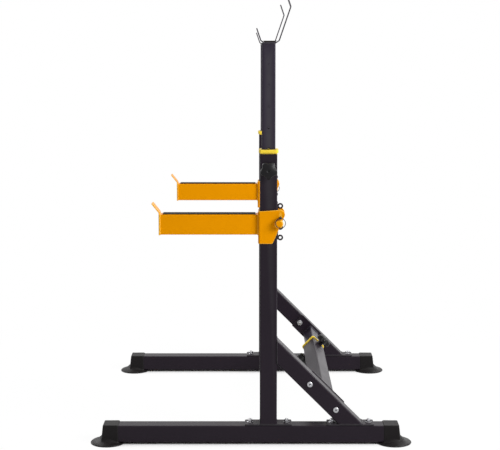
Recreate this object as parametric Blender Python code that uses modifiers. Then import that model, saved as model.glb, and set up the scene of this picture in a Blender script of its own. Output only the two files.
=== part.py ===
"""Squat rack of two standing frames, joined by a crossbar that sets their distance.

Each frame is a base tube on two feet, with an upright and a brace bolted on top of it.
A post with a bar cradle slides in the upright, and a spotter arm hooks round the upright.
Metres, +Z up, X across the rack, +Y to the rear. The origin is on the floor, in the middle.
"""
import bpy
import bmesh
from collections import namedtuple
from math import acos, cos, pi, radians, sin, tan
from mathutils import Matrix, Vector

# Clearances
GAP = 0.0003              # between two pieces that touch
SLIDE = 0.0005            # on each side of a tube that slides in its bush
BORE_GAP = 0.0004         # round a pin or bolt in its hole
PIN_GAP = 0.0004          # from a locking pin's nose to what it locks
HOOK_GAP = 0.0011         # between the spotter's hook and the upright
STOP_GAP = 0.0005         # between the bar cradle and the bush when the post is down

# Square tubes: the post's bush fills the space between the two sizes
POST = 0.047              # width of a post, and of the crossbar's inner tube
SLEEVE = 0.0037           # wall of the bush inside the larger tube
WALL = 0.002              # wall of every square tube
CORNER = 0.005            # outer corner radius of every square tube
TUBE = POST + 2 * (SLIDE + SLEEVE + GAP + WALL)
PLATE = 0.005             # every flat steel plate

# Base and feet
FRAME_SPACING = 0.978     # between the middle planes of the two frames
FOOT_FLOOR = 0.008        # foot under the base tube
FOOT_GRIP = 0.050         # how far a foot reaches over the tube
FOOT_CLEAR = 0.0335       # from the brace's foot plate to the rear foot
FOOT_END = 0.005          # foot's end wall, at the top
FOOT_LEAN = 0.005         # how much further out that wall is at the neck
FOOT_WALL = 0.002
FOOT_SOFTNESS = 0.003     # rounding of the foot's cap
FOOT_AXIS = 0.0105        # axis of the round skirt, inside the tube's end
SKIRT_RADIUS = 0.062
SKIRT_RIM = 0.003
SKIRT_NECK = 0.028        # height of the skirt where it meets the cap
SKIRT_HOLLOW = 1.1        # 1 is a straight cone, more is hollow

# Upright
UPRIGHT_Y = 0.061
UPRIGHT_LENGTH = 0.954
BOLT_SHIFT = 0.035        # from a tube's side to the bolt beside it
BOLT_EDGE = 0.0175        # from a bolt to its plate's end

# Brace
BRACE_ANGLE = radians(45)
BRACE_REACH = 0.260       # from the upright's rear face to the middle of the brace's foot
BRACE_SPARE = 0.120       # extra length at each end, which the slanting cuts take off
BRACE_BOLT_SHIFT = 0.0226
CROSS_ALONG = 0.139       # from the brace's foot to the crossbar, along the brace
CROSS_MARGIN = 0.0025     # how far the cross plate stands out beside the brace

# Bushes
BUSH_LIP = 0.004
BUSH_HEIGHT = 0.015
SLEEVE_LENGTH = 0.025

# Post
PIN_DROP = 0.054          # locking pin, below the upright's top
HOLE_PITCH = 0.0726
HOLES_ABOVE = 5
HOLES_BELOW = 3
POST_TAIL = 0.190         # post below its lowest hole

# Bar cradle, a bent strip: the flat lies on the post, and each side rises in two or three runs
STRIP = 0.004
CRADLE_WIDTH = 0.050
DISH_FRONT = 0.017        # flat of the dish in front of the post's axis
DISH_REAR = 0.026         # flat of the dish behind that axis
FLARE = 0.012
FLARE_ANGLE = radians(35)
CRADLE_LEAN = radians(71)
STOP_LENGTH = 0.044
GUIDE_LENGTH = 0.121
TIP_LENGTH = 0.046
STRIP_BEND = 0.005
DISH_PAD = 0.004
DISH_PAD_MARGIN = 0.001

# Locking pins and their knobs
PIN_RADIUS = 0.004
NOSE_LENGTH = 0.003
NOSE_RADIUS = 0.0028
BOSS_RADIUS = 0.012
BOSS_LENGTH = 0.012
KNOB_GAP = 0.0005
HUB_RADIUS = 0.014
HUB_LENGTH = 0.010
KNOB_RADIUS = 0.031
KNOB_WAVE = 0.0065        # depth of the hollows between the lobes
KNOB_LOBES = 5
KNOB_THICK = 0.020
KNOB_SOFTNESS = 0.004
PIN_GRIP = 0.018          # pin inside the knob

# Eyes behind the upright, and the ring pin through them
EYE_Z = 0.808             # eye that holds the spotter
EYE_PITCH = 0.037
EYES_ABOVE = 1
EYES_BELOW = 2
EYE_OUT = 0.011           # eye's centre, behind the upright
EYE_RIM = 0.0051
EYE_WEB = 0.0035
EYE_THICK = 0.006
RING_PIN_RADIUS = 0.0045
RING_PIN_TAIL = 0.005     # pin outside the ring
RING_RADIUS = 0.017
RING_WIRE = 0.001
RING_HOLE = 0.0022

# Spotter: a hook round the upright with an arm in front of it
HOOK_DROP = 0.091         # hook's lower edge, below the ring pin
HOOK_RISE = 0.0215        # hook's upper edge at its front, above the ring pin
HOOK_TAIL = 0.0275        # lower rear corner, in front of the ring pin
HOOK_BEND = 0.007
LOBE_OUT = 0.025          # sharp corner of the lobe behind the ring pin
LOBE_UP = 0.029
LOBE_RADIUS = 0.0165
TAIL_RADIUS = 0.008
STUB_RADIUS = 0.0135
STUB_LENGTH = 0.014
STUB_FRONT = 0.006        # stub's axis, in front of the ring pin
STUB_DROP = 0.021
STUB_CLEAR = 0.0005       # between the stub and the ring
ARM_LENGTH = 0.342
ARM_WIDTH = 0.050
ARM_HEIGHT = 0.071
ARM_WALL = 0.0025
ARM_DROP = 0.0255         # arm's middle, below the ring pin
LIP_PLATE = 0.006
LIP_DROP = 0.002          # end plate below the arm
LIP_RISE = 0.006          # end plate above the arm, up to its bend
LIP_LENGTH = 0.041
LIP_ANGLE = radians(51.5)
LIP_BEND = 0.006
ARM_PAD = 0.003
ARM_PAD_WIDTH = 0.044
ARM_PAD_REAR = 0.009      # from the hook to the pad
ARM_PAD_FRONT = 0.009     # from the end plate to the pad

# Crossbar
CROSS_EXPOSED = 0.234     # inner tube between its plate and the bush
CROSS_INSIDE = 0.400      # inner tube inside the outer one
CROSS_PIN = 0.0125        # locking pin, past the bush's sleeve
CROSS_PITCH = 0.050
CROSS_HOLES_IN = 4        # holes that serve when the frames are closer
CROSS_HOLES_OUT = 3

# Bolts
BOLT_RADIUS = 0.005
HEAD_RADIUS = 0.010
HEAD_HEIGHT = 0.0045
HEAD_EDGE = 0.0018        # height of the head's upright edge
HEAD_CROWN = 0.0065       # radius of the flat on top of the head
WASHER_RADIUS = 0.011
WASHER_HEIGHT = 0.002
NUT_RADIUS = 0.0095
NUT_HEIGHT = 0.008
BOLT_END = 0.003
NUT_SIDES = 6

# How finely round shapes are divided
OVERCUT = 0.002           # how far a cutter runs past what it cuts
MERGE = 0.00001
CORNER_STEPS = 3
HOLE_SIDES = 12
BOLT_SIDES = 10
ROUND_SIDES = 20
SKIRT_SIDES = 32
SKIRT_STEPS = 4
LOBE_STEPS = 6
EYE_STEPS = 10
RING_SIDES = 24
WIRE_SIDES = 6
SMOOTH = radians(35)

# Sizes that follow from those above
BASE_TOP = FOOT_FLOOR + TUBE
FLANGE_TOP = BASE_TOP + GAP + PLATE
UPRIGHT_TOP = FLANGE_TOP + GAP + UPRIGHT_LENGTH
REAR_FACE = UPRIGHT_Y + TUBE / 2
BUSH_TOP = UPRIGHT_TOP + GAP + BUSH_HEIGHT
POST_PIN_Z = UPRIGHT_TOP - PIN_DROP
POST_TOP = BUSH_TOP + STOP_GAP + HOLES_ABOVE * HOLE_PITCH - GAP
POST_FOOT = POST_PIN_Z - HOLES_BELOW * HOLE_PITCH - POST_TAIL
BRACE_TILT = pi / 2 - BRACE_ANGLE
BRACE_FOOT_Y = REAR_FACE + BRACE_REACH
BRACE_HALF_FOOT = TUBE / 2 / sin(BRACE_ANGLE)
BOLT_LINE = TUBE / 2 + BOLT_SHIFT
BRACE_BOLT_LINE = BRACE_HALF_FOOT + BRACE_BOLT_SHIFT
BOLT_GRIP = PLATE + GAP + TUBE
BASE_HALF = BRACE_FOOT_Y + BRACE_BOLT_LINE + BOLT_EDGE + FOOT_CLEAR + FOOT_GRIP
EYE_Y = REAR_FACE + EYE_OUT
EYE_HOLE = RING_PIN_RADIUS + BORE_GAP
EYE_RADIUS = EYE_HOLE + EYE_RIM
HOOK_INSIDE = TUBE / 2 + HOOK_GAP
HOOK_OUTSIDE = HOOK_INSIDE + PLATE
RING_PLANE = HOOK_OUTSIDE + STUB_LENGTH + STUB_CLEAR + RING_WIRE
ARM_REAR = UPRIGHT_Y - HOOK_OUTSIDE - GAP
ARM_Z = EYE_Z - ARM_DROP
KNOB_START = TUBE / 2 + BOSS_LENGTH + KNOB_GAP
FRAME_X = FRAME_SPACING / 2
CROSS_PLATE_X = FRAME_X - TUBE / 2 - GAP - PLATE / 2
CROSS_NEAR_END = CROSS_PLATE_X - PLATE / 2 - GAP
CROSS_FAR_END = -CROSS_NEAR_END + CROSS_EXPOSED + BUSH_HEIGHT + GAP
CROSS_PIN_X = CROSS_FAR_END + SLEEVE_LENGTH + CROSS_PIN

# Finishes: colour, roughness, metallic
BLACK_PAINT = ((0.022, 0.021, 0.024), 0.45, 0.0)
BLACK_STEEL = ((0.045, 0.044, 0.048), 0.42, 0.3)
AMBER_PAINT = ((0.75, 0.29, 0.004), 0.40, 0.0)
YELLOW_PLASTIC = ((0.84, 0.60, 0.06), 0.50, 0.0)
BLACK_PLASTIC = ((0.014, 0.014, 0.014), 0.55, 0.0)
BLACK_RUBBER = ((0.012, 0.012, 0.012), 0.80, 0.0)
ZINC = ((0.60, 0.60, 0.62), 0.30, 1.0)

LENGTHWAYS = Matrix.Rotation(-pi / 2, 3, "X")
CROSSWAYS = Matrix.Rotation(pi / 2, 3, "Z") @ Matrix.Rotation(pi / 2, 3, "X")
STANDING = Matrix.Identity(3)
TILTED = Matrix.Rotation(BRACE_TILT, 3, "X")

Side = namedtuple("Side", "name sign x body")
WORLD = {}


def clear_scene():
    for item in list(bpy.data.objects):
        bpy.data.objects.remove(item, do_unlink=True)


def new_collection(name):
    group = bpy.data.collections.new(name)
    bpy.context.scene.collection.children.link(group)
    return group


def new_body(name, spot, parent=None):
    """An empty on a moving body's joint axis, which carries the body's pieces."""
    empty = bpy.data.objects.new(name, None)
    empty.empty_display_size = TUBE
    PARTS.objects.link(empty)
    WORLD[name] = Vector(spot)
    empty.parent = parent
    empty.location = WORLD[name] - (WORLD[parent.name] if parent else Vector())
    return empty


def new_piece(name, mesh):
    piece = bpy.data.objects.new(name, mesh)
    PARTS.objects.link(piece)
    return piece


def place(piece, body, spot, turn=STANDING):
    """Put a piece at a spot of the rack, carried by its body's empty."""
    piece.parent = body
    piece.location = Vector(spot) - WORLD[body.name]
    piece.rotation_euler = turn.to_euler()
    return piece


def finish(piece, look):
    """Give a piece its own material, and smooth shading across its shallow edges."""
    colour, roughness, metallic = look
    material = bpy.data.materials.new(piece.name)
    material.use_nodes = True
    shader = material.node_tree.nodes["Principled BSDF"]
    shader.inputs["Base Color"].default_value = (*colour, 1)
    shader.inputs["Roughness"].default_value = roughness
    shader.inputs["Metallic"].default_value = metallic
    piece.data.materials.clear()
    piece.data.materials.append(material)
    piece.data.shade_smooth()
    piece.data.set_sharp_from_angle(angle=SMOOTH)
    return piece


def mesh_from(name, shape):
    mesh = bpy.data.meshes.new(name)
    shape.to_mesh(mesh)
    shape.free()
    return mesh


def block(name, size):
    shape = bmesh.new()
    bmesh.ops.create_cube(shape, size=1, matrix=Matrix.Diagonal((*size, 1)))
    return new_piece(name, mesh_from(name, shape))


def rod(name, radius, low, high, sides=ROUND_SIDES):
    """A round bar along its own Z from low to high."""
    shape = bmesh.new()
    middle = Matrix.Translation((0, 0, (low + high) / 2))
    bmesh.ops.create_cone(shape, cap_ends=True, segments=sides, radius1=radius,
                          radius2=radius, depth=high - low, matrix=middle)
    return new_piece(name, mesh_from(name, shape))


def solid_of(piece):
    """The finished mesh of a piece, whose object and cutters are then removed."""
    tools = [step.object for step in piece.modifiers if step.type == "BOOLEAN"]
    graph = bpy.context.evaluated_depsgraph_get()
    mesh = bpy.data.meshes.new_from_object(piece.evaluated_get(graph))
    mesh.name = piece.name
    for item in [piece] + tools:
        bpy.data.objects.remove(item, do_unlink=True)
    return mesh


def joined(curve, name):
    """The solid that a filled curve draws, with its caps joined to its walls."""
    guide = new_piece(name, curve)
    shape = bmesh.new()
    shape.from_mesh(solid_of(guide))
    bmesh.ops.remove_doubles(shape, verts=shape.verts, dist=MERGE)
    bmesh.ops.recalc_face_normals(shape, faces=shape.faces)
    return new_piece(name, mesh_from(name, shape))


def plate(name, outlines, thickness):
    """A flat plate: the first closed outline is its edge, and the others are holes."""
    curve = bpy.data.curves.new(name, "CURVE")
    curve.dimensions = "2D"
    curve.fill_mode = "BOTH"
    curve.extrude = thickness / 2
    for outline in outlines:
        spline = curve.splines.new("POLY")
        spline.points.add(len(outline) - 1)
        for point, (x, y) in zip(spline.points, outline):
            point.co = (x, y, 0, 1)
        spline.use_cyclic_u = True
    return joined(curve, name)


def circle(centre, radius, sides=HOLE_SIDES):
    turns = [2 * pi * step / sides for step in range(sides)]
    return [(centre[0] + radius * cos(turn), centre[1] + radius * sin(turn)) for turn in turns]


def bend(before, corner, after, radius):
    """Points of the arc that rounds a corner between two straight runs."""
    corner = Vector(corner)
    back = (Vector(before) - corner).normalized()
    ahead = (Vector(after) - corner).normalized()
    half = back.angle(ahead) / 2
    centre = corner + (back + ahead).normalized() * radius / sin(half)
    start = corner + back * radius / tan(half) - centre
    end = corner + ahead * radius / tan(half) - centre
    sweep = start.angle_signed(end)
    turns = [-sweep * step / CORNER_STEPS for step in range(CORNER_STEPS + 1)]
    return [tuple(centre + Matrix.Rotation(turn, 2) @ start) for turn in turns]


def rounded(corners):
    """A closed outline from corners (x, y, radius)."""
    outline = []
    for number, (x, y, radius) in enumerate(corners):
        before = corners[number - 1][:2]
        after = corners[(number + 1) % len(corners)][:2]
        outline += bend(before, (x, y), after, radius) if radius else [(x, y)]
    return outline


def rectangle(width, height, radius=0.0):
    x, y = width / 2, height / 2
    return rounded([(-x, -y, radius), (x, -y, radius), (x, y, radius), (-x, y, radius)])


def square_tube(name, width, length, height=None, wall=WALL):
    """A hollow section along its own Z, centred, with rounded corners."""
    height = height or width
    outside = rectangle(width, height, CORNER)
    inside = rectangle(width - 2 * wall, height - 2 * wall, CORNER - wall)
    return plate(name, [outside, inside], length)


def bent_strip(name, corners, radius, width, thickness):
    """A strip bent along corners (y, z), flat across X, with the line in its middle."""
    line = [corners[0]]
    for before, corner, after in zip(corners, corners[1:], corners[2:]):
        line += bend(before, corner, after, radius)
    line.append(corners[-1])
    shape = bmesh.new()
    edges = [[shape.verts.new((x, y, z)) for y, z in line] for x in (-width / 2, width / 2)]
    left, right = edges
    for here in range(len(line) - 1):
        shape.faces.new((left[here], right[here], right[here + 1], left[here + 1]))
    strip = new_piece(name, mesh_from(name, shape))
    shell = strip.modifiers.new("Thickness", "SOLIDIFY")
    shell.thickness = thickness
    shell.offset = 0
    shell.use_even_offset = True
    return strip


def turned(name, profile, sides):
    """A round solid from a profile (radius, z) that runs down its outside."""
    mesh = bpy.data.meshes.new(name)
    points = [(radius, 0, z) for radius, z in profile]
    mesh.from_pydata(points, [(step, step + 1) for step in range(len(points) - 1)], [])
    piece = new_piece(name, mesh)
    screw = piece.modifiers.new("Turn", "SCREW")
    screw.steps = sides
    screw.render_steps = sides
    screw.use_merge_vertices = True
    screw.merge_threshold = MERGE
    return piece


def soften(piece, width, segments):
    edge = piece.modifiers.new("Rounding", "BEVEL")
    edge.width = width
    edge.segments = segments
    edge.limit_method = "ANGLE"
    edge.angle_limit = SMOOTH


def combine(piece, tool, operation):
    """Cut, weld or intersect a piece with a tool, which isn't a piece itself."""
    step = piece.modifiers.new(tool.name, "BOOLEAN")
    step.operation = operation
    step.solver = "EXACT"
    step.object = tool
    PARTS.objects.unlink(tool)
    CUTTERS.objects.link(tool)
    tool.hide_render = True
    tool.display_type = "WIRE"


def drill(piece, body, spot, direction, radius, low, high):
    """A round hole along a direction, from low to high past the spot."""
    bit = rod(piece.name + "_hole", radius, low, high, HOLE_SIDES)
    place(bit, body, spot, facing(direction))
    combine(piece, bit, "DIFFERENCE")


def facing(direction):
    """The turn that points a piece's own Z along a direction."""
    return Vector((0, 0, 1)).rotation_difference(Vector(direction)).to_matrix()


def on_brace(along, out=0.0):
    """Y and Z of a point up the brace from its foot, and out of its upper face."""
    y = BRACE_FOOT_Y - along * cos(BRACE_ANGLE) + out * sin(BRACE_ANGLE)
    z = FLANGE_TOP + along * sin(BRACE_ANGLE) + out * cos(BRACE_ANGLE)
    return y, z


def walk(start, runs):
    """Corners of a line that starts at a point and follows runs (length, angle)."""
    corners = [start]
    for length, angle in runs:
        y, z = corners[-1]
        corners.append((y + length * cos(angle), z + length * sin(angle)))
    return corners


def bolt_mesh():
    """Domed bolt with its washer and nut; its Z is 0 where the washer lies."""
    end = WASHER_HEIGHT + NUT_HEIGHT + BOLT_END
    seat = -BOLT_GRIP - 2 * GAP
    rim = seat - HEAD_EDGE
    crown = seat - HEAD_HEIGHT
    profile = [(0, end), (BOLT_RADIUS, end), (BOLT_RADIUS, WASHER_HEIGHT),
               (WASHER_RADIUS, WASHER_HEIGHT), (WASHER_RADIUS, 0), (BOLT_RADIUS, 0),
               (BOLT_RADIUS, seat), (HEAD_RADIUS, seat), (HEAD_RADIUS, rim),
               (HEAD_CROWN, crown), (0, crown)]
    bolt = turned("bolt", profile, BOLT_SIDES)
    nut = rod("bolt_nut", NUT_RADIUS, WASHER_HEIGHT / 2, WASHER_HEIGHT + NUT_HEIGHT, NUT_SIDES)
    combine(bolt, nut, "UNION")
    return solid_of(bolt)


def knob_mesh():
    """Lobed plastic knob on a hub; its Z is 0 at the hub's end, and the pin fills its bore."""
    count = KNOB_LOBES * LOBE_STEPS
    turns = [2 * pi * step / count for step in range(count)]
    radii = [KNOB_RADIUS - KNOB_WAVE * (1 - cos(KNOB_LOBES * turn)) / 2 for turn in turns]
    outline = [(radius * cos(turn), radius * sin(turn)) for radius, turn in zip(radii, turns)]
    head = plate("knob", [outline], KNOB_THICK)
    head.data.transform(Matrix.Translation((0, 0, HUB_LENGTH + KNOB_THICK / 2)))
    soften(head, KNOB_SOFTNESS, 1)
    hub = rod("knob_hub", HUB_RADIUS, 0, HUB_LENGTH + KNOB_THICK / 2)
    combine(head, hub, "UNION")
    bore = rod("knob_bore", PIN_RADIUS + GAP, -OVERCUT, PIN_GRIP + GAP, HOLE_SIDES)
    combine(head, bore, "DIFFERENCE")
    return solid_of(head)


def pin_mesh():
    """Locking pin; its Z is 0 on the axis of the tube that it locks."""
    nose = POST / 2 + PIN_GAP
    profile = [(0, KNOB_START + PIN_GRIP), (PIN_RADIUS, KNOB_START + PIN_GRIP),
               (PIN_RADIUS, nose + NOSE_LENGTH), (NOSE_RADIUS, nose), (0, nose)]
    return solid_of(turned("pin", profile, HOLE_SIDES))


def bush_mesh():
    """Plastic bush; its Z is 0 on the end of the tube that it plugs."""
    lip = plate("bush", [rectangle(TUBE + 2 * BUSH_LIP, TUBE + 2 * BUSH_LIP, CORNER)],
                BUSH_HEIGHT)
    lip.data.transform(Matrix.Translation((0, 0, GAP + BUSH_HEIGHT / 2)))
    inside = TUBE - 2 * WALL - 2 * GAP
    depth = SLEEVE_LENGTH + GAP + BUSH_HEIGHT / 2
    sleeve = plate("bush_sleeve", [rectangle(inside, inside, CORNER - WALL)], depth)
    sleeve.data.transform(Matrix.Translation((0, 0, depth / 2 - SLEEVE_LENGTH)))
    combine(lip, sleeve, "UNION")
    bore = POST + 2 * SLIDE
    hole = plate("bush_bore", [rectangle(bore, bore, CORNER)],
                 2 * (SLEEVE_LENGTH + BUSH_HEIGHT + OVERCUT))
    combine(lip, hole, "DIFFERENCE")
    return solid_of(lip)


def foot_mesh():
    """Plastic foot for the rear end of a base tube; its origin is on the floor."""
    tube_end = FOOT_AXIS
    low = SKIRT_RIM / 2
    high = BASE_TOP + GAP + FOOT_WALL
    end = tube_end + FOOT_END
    inner = tube_end - FOOT_GRIP
    outline = [(inner, low), (end + FOOT_LEAN, low), (end + FOOT_LEAN, SKIRT_NECK),
               (end, high), (inner, high)]
    cap = plate("foot", [outline], TUBE + 2 * (GAP + FOOT_WALL))
    cap.data.transform(CROSSWAYS.to_4x4())
    soften(cap, FOOT_SOFTNESS, 2)
    neck = end + FOOT_LEAN
    shares = [step / SKIRT_STEPS for step in range(SKIRT_STEPS + 1)]
    slope = [(neck + (SKIRT_RADIUS - neck) * share,
              SKIRT_RIM + (SKIRT_NECK - SKIRT_RIM) * (1 - share) ** SKIRT_HOLLOW)
             for share in shares]
    skirt = turned("foot_skirt", [(0, SKIRT_NECK)] + slope + [(SKIRT_RADIUS, 0), (0, 0)],
                   SKIRT_SIDES)
    combine(cap, skirt, "UNION")
    length = tube_end + GAP + SKIRT_RADIUS + OVERCUT
    pocket = block("foot_pocket", (TUBE + 2 * GAP, length, TUBE + 2 * GAP))
    pocket.location = (0, tube_end + GAP - length / 2, FOOT_FLOOR + TUBE / 2)
    bpy.context.view_layer.update()
    combine(cap, pocket, "DIFFERENCE")
    return solid_of(cap)


def lock(names, label, parent, spot, direction):
    """A sprung locking pin across a tube's axis, and the knob that pulls it."""
    pin_name, knob_name = names
    pin_body = new_body(label + "_pin", spot, parent)
    knob_body = new_body(label + "_knob", spot, pin_body)
    place(new_piece(pin_name, PIN), pin_body, spot, facing(direction))
    start = Vector(spot) + Vector(direction) * KNOB_START
    place(new_piece(knob_name, KNOB), knob_body, start, facing(direction))


def pin_boss(tube, body, spot, direction):
    """The threaded boss that is welded on a tube's face, and its bore."""
    top = TUBE / 2 + BOSS_LENGTH
    boss = rod(tube.name + "_boss", BOSS_RADIUS, TUBE / 2 - WALL / 2, top)
    place(boss, body, spot, facing(direction))
    combine(tube, boss, "UNION")
    drill(tube, body, spot, direction, PIN_RADIUS + BORE_GAP, POST / 2, top + OVERCUT)


def bolt(label, body, spot, direction):
    piece = new_piece(label, BOLT)
    place(piece, body, spot, facing(direction))


def base(side):
    """Base tube with a foot on each end, drilled for the four bolts on top of it."""
    tube = square_tube("base_tube_" + side.name, TUBE, 2 * BASE_HALF)
    place(tube, side.body, (side.x, 0, FOOT_FLOOR + TUBE / 2), LENGTHWAYS)
    for y in base_bolts():
        drill(tube, side.body, (side.x, y, 0), (0, 0, 1), BOLT_RADIUS + BORE_GAP,
              0, BASE_TOP + OVERCUT)
    finish(tube, BLACK_PAINT)
    for label, end in (("front", -1), ("rear", 1)):
        foot = new_piece(label + "_foot_" + side.name, FOOT)
        turn = Matrix.Rotation(0 if end > 0 else pi, 3, "Z")
        place(foot, side.body, (side.x, end * (BASE_HALF - FOOT_AXIS), 0), turn)


def base_bolts():
    """Y of the bolts through the base tube, from front to rear."""
    return [UPRIGHT_Y - BOLT_LINE, UPRIGHT_Y + BOLT_LINE,
            BRACE_FOOT_Y - BRACE_BOLT_LINE, BRACE_FOOT_Y + BRACE_BOLT_LINE]


def flange(name, side, y, bolt_line):
    """Foot plate under an upright or a brace, with its two bolts."""
    holes = [circle((0, end * bolt_line), BOLT_RADIUS + BORE_GAP) for end in (-1, 1)]
    outline = rectangle(TUBE, 2 * (bolt_line + BOLT_EDGE), CORNER)
    piece = plate(name + "_" + side.name, [outline] + holes, PLATE)
    place(piece, side.body, (side.x, y, FLANGE_TOP - PLATE / 2))
    finish(piece, BLACK_PAINT)


def base_fasteners(side):
    for number, y in enumerate(base_bolts(), 1):
        bolt(f"base_bolt_{number}_{side.name}", side.body, (side.x, y, FLANGE_TOP + GAP),
             (0, 0, 1))


def upright(side):
    """Outer tube of the upright, with the boss of its locking pin on its outer side."""
    tube = square_tube("upright_tube_" + side.name, TUBE, UPRIGHT_LENGTH)
    place(tube, side.body, (side.x, UPRIGHT_Y, UPRIGHT_TOP - UPRIGHT_LENGTH / 2))
    pin_boss(tube, side.body, (side.x, UPRIGHT_Y, POST_PIN_Z), (side.sign, 0, 0))
    finish(tube, BLACK_PAINT)
    bush = new_piece("upright_bush_" + side.name, BUSH)
    place(bush, side.body, (side.x, UPRIGHT_Y, UPRIGHT_TOP))


def eye_rail(side):
    """Steel rail with the spotter's eyes, welded down the upright's rear face."""
    angle = acos((EYE_WEB - EYE_OUT) / EYE_RADIUS)
    heights = [EYE_PITCH * step for step in range(-EYES_BELOW, EYES_ABOVE + 1)]
    turns = [angle * (2 * step / EYE_STEPS - 1) for step in range(EYE_STEPS + 1)]
    edge = [(EYE_OUT + EYE_RADIUS * cos(turn), z + EYE_RADIUS * sin(turn))
            for z in heights for turn in turns]
    outline = [(GAP, edge[0][1])] + edge + [(GAP, edge[-1][1])]
    holes = [circle((EYE_OUT, z), EYE_HOLE) for z in heights]
    rail = plate("eye_rail_" + side.name, [outline] + holes, EYE_THICK)
    place(rail, side.body, (side.x, REAR_FACE, EYE_Z), CROSSWAYS)
    finish(rail, BLACK_PAINT)


def brace(side):
    """Slanting tube, cut upright against the upright and level on its foot plate."""
    run = BRACE_REACH / cos(BRACE_ANGLE)
    length = run + 2 * BRACE_SPARE
    width = TUBE + 2 * OVERCUT
    tube = square_tube("brace_" + side.name, TUBE, length)
    y, z = on_brace(run / 2)
    place(tube, side.body, (side.x, y, z), TILTED)
    top = block(tube.name + "_top_cut", (width, length, length))
    place(top, side.body, (side.x, REAR_FACE + GAP - length / 2, z + run / 2))
    combine(tube, top, "DIFFERENCE")
    low = block(tube.name + "_low_cut", (width, length, length))
    place(low, side.body, (side.x, BRACE_FOOT_Y, FLANGE_TOP + GAP - length / 2))
    combine(tube, low, "DIFFERENCE")
    for spot in cross_bolts(side, side.x):
        drill(tube, side.body, spot, (1, 0, 0), BOLT_RADIUS + BORE_GAP, -width / 2, width / 2)
    finish(tube, BLACK_PAINT)


def cross_bolts(side, x):
    """Spots at a given x of the two bolts that hold the cross plate on a brace."""
    spots = [on_brace(CROSS_ALONG + end * BOLT_LINE) for end in (1, -1)]
    return [(x, y, z) for y, z in spots]


def cross_plate(side):
    """Plate on the brace's inner face that carries one end of the crossbar."""
    holes = [circle((0, end * BOLT_LINE), BOLT_RADIUS + BORE_GAP) for end in (-1, 1)]
    outline = rectangle(TUBE + 2 * CROSS_MARGIN, 2 * (BOLT_LINE + BOLT_EDGE), CORNER)
    piece = plate("cross_plate_" + side.name, [outline] + holes, PLATE)
    place(piece, side.body, (side.sign * CROSS_PLATE_X, *on_brace(CROSS_ALONG)),
          TILTED @ CROSSWAYS)
    finish(piece, BLACK_PAINT)
    washer_x = side.sign * (CROSS_PLATE_X - PLATE / 2 - GAP)
    for label, spot in zip(("upper", "lower"), cross_bolts(side, washer_x)):
        bolt(f"{label}_cross_bolt_{side.name}", side.body, spot, (-side.sign, 0, 0))


def post(side, body):
    """Sliding post with a row of holes on its outer side."""
    tube = square_tube("post_" + side.name, POST, POST_TOP - POST_FOOT)
    place(tube, body, (side.x, UPRIGHT_Y, (POST_TOP + POST_FOOT) / 2))
    for step in range(-HOLES_BELOW, HOLES_ABOVE + 1):
        drill(tube, body, (side.x, UPRIGHT_Y, POST_PIN_Z + step * HOLE_PITCH),
              (side.sign, 0, 0), PIN_RADIUS + BORE_GAP, POST / 2 - 2 * WALL, TUBE / 2)
    finish(tube, BLACK_STEEL)


def cradle(side, body):
    """Bent steel strip that takes the bar, and the rubber pad in its dish."""
    level = GAP + STRIP / 2
    front = walk((-DISH_FRONT, level), [(FLARE, pi - FLARE_ANGLE), (STOP_LENGTH, pi - CRADLE_LEAN)])
    rear = walk((DISH_REAR, level), [(FLARE, FLARE_ANGLE), (GUIDE_LENGTH, CRADLE_LEAN),
                                     (TIP_LENGTH, pi - CRADLE_LEAN)])
    strip = bent_strip("cradle_" + side.name, front[::-1] + rear, STRIP_BEND, CRADLE_WIDTH, STRIP)
    place(strip, body, (side.x, UPRIGHT_Y, POST_TOP))
    finish(strip, BLACK_STEEL)
    dish_pad(side, body, level + STRIP / 2 + GAP)


def dish_pad(side, body, low):
    """Rubber pad between the two flares, which keeps clear of them."""
    clear = (STRIP / 2 + GAP + DISH_PAD_MARGIN) / sin(FLARE_ANGLE)
    ends = []
    for height in (low, low + DISH_PAD):
        spread = (height - GAP - STRIP / 2) / tan(FLARE_ANGLE) - clear
        ends.append((-DISH_FRONT - spread, DISH_REAR + spread, height))
    (front_low, rear_low, z_low), (front_high, rear_high, z_high) = ends
    outline = [(front_low, z_low), (rear_low, z_low), (rear_high, z_high), (front_high, z_high)]
    pad = plate("cradle_pad_" + side.name, [outline], CRADLE_WIDTH)
    place(pad, body, (side.x, UPRIGHT_Y, POST_TOP), CROSSWAYS)
    finish(pad, BLACK_RUBBER)


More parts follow.
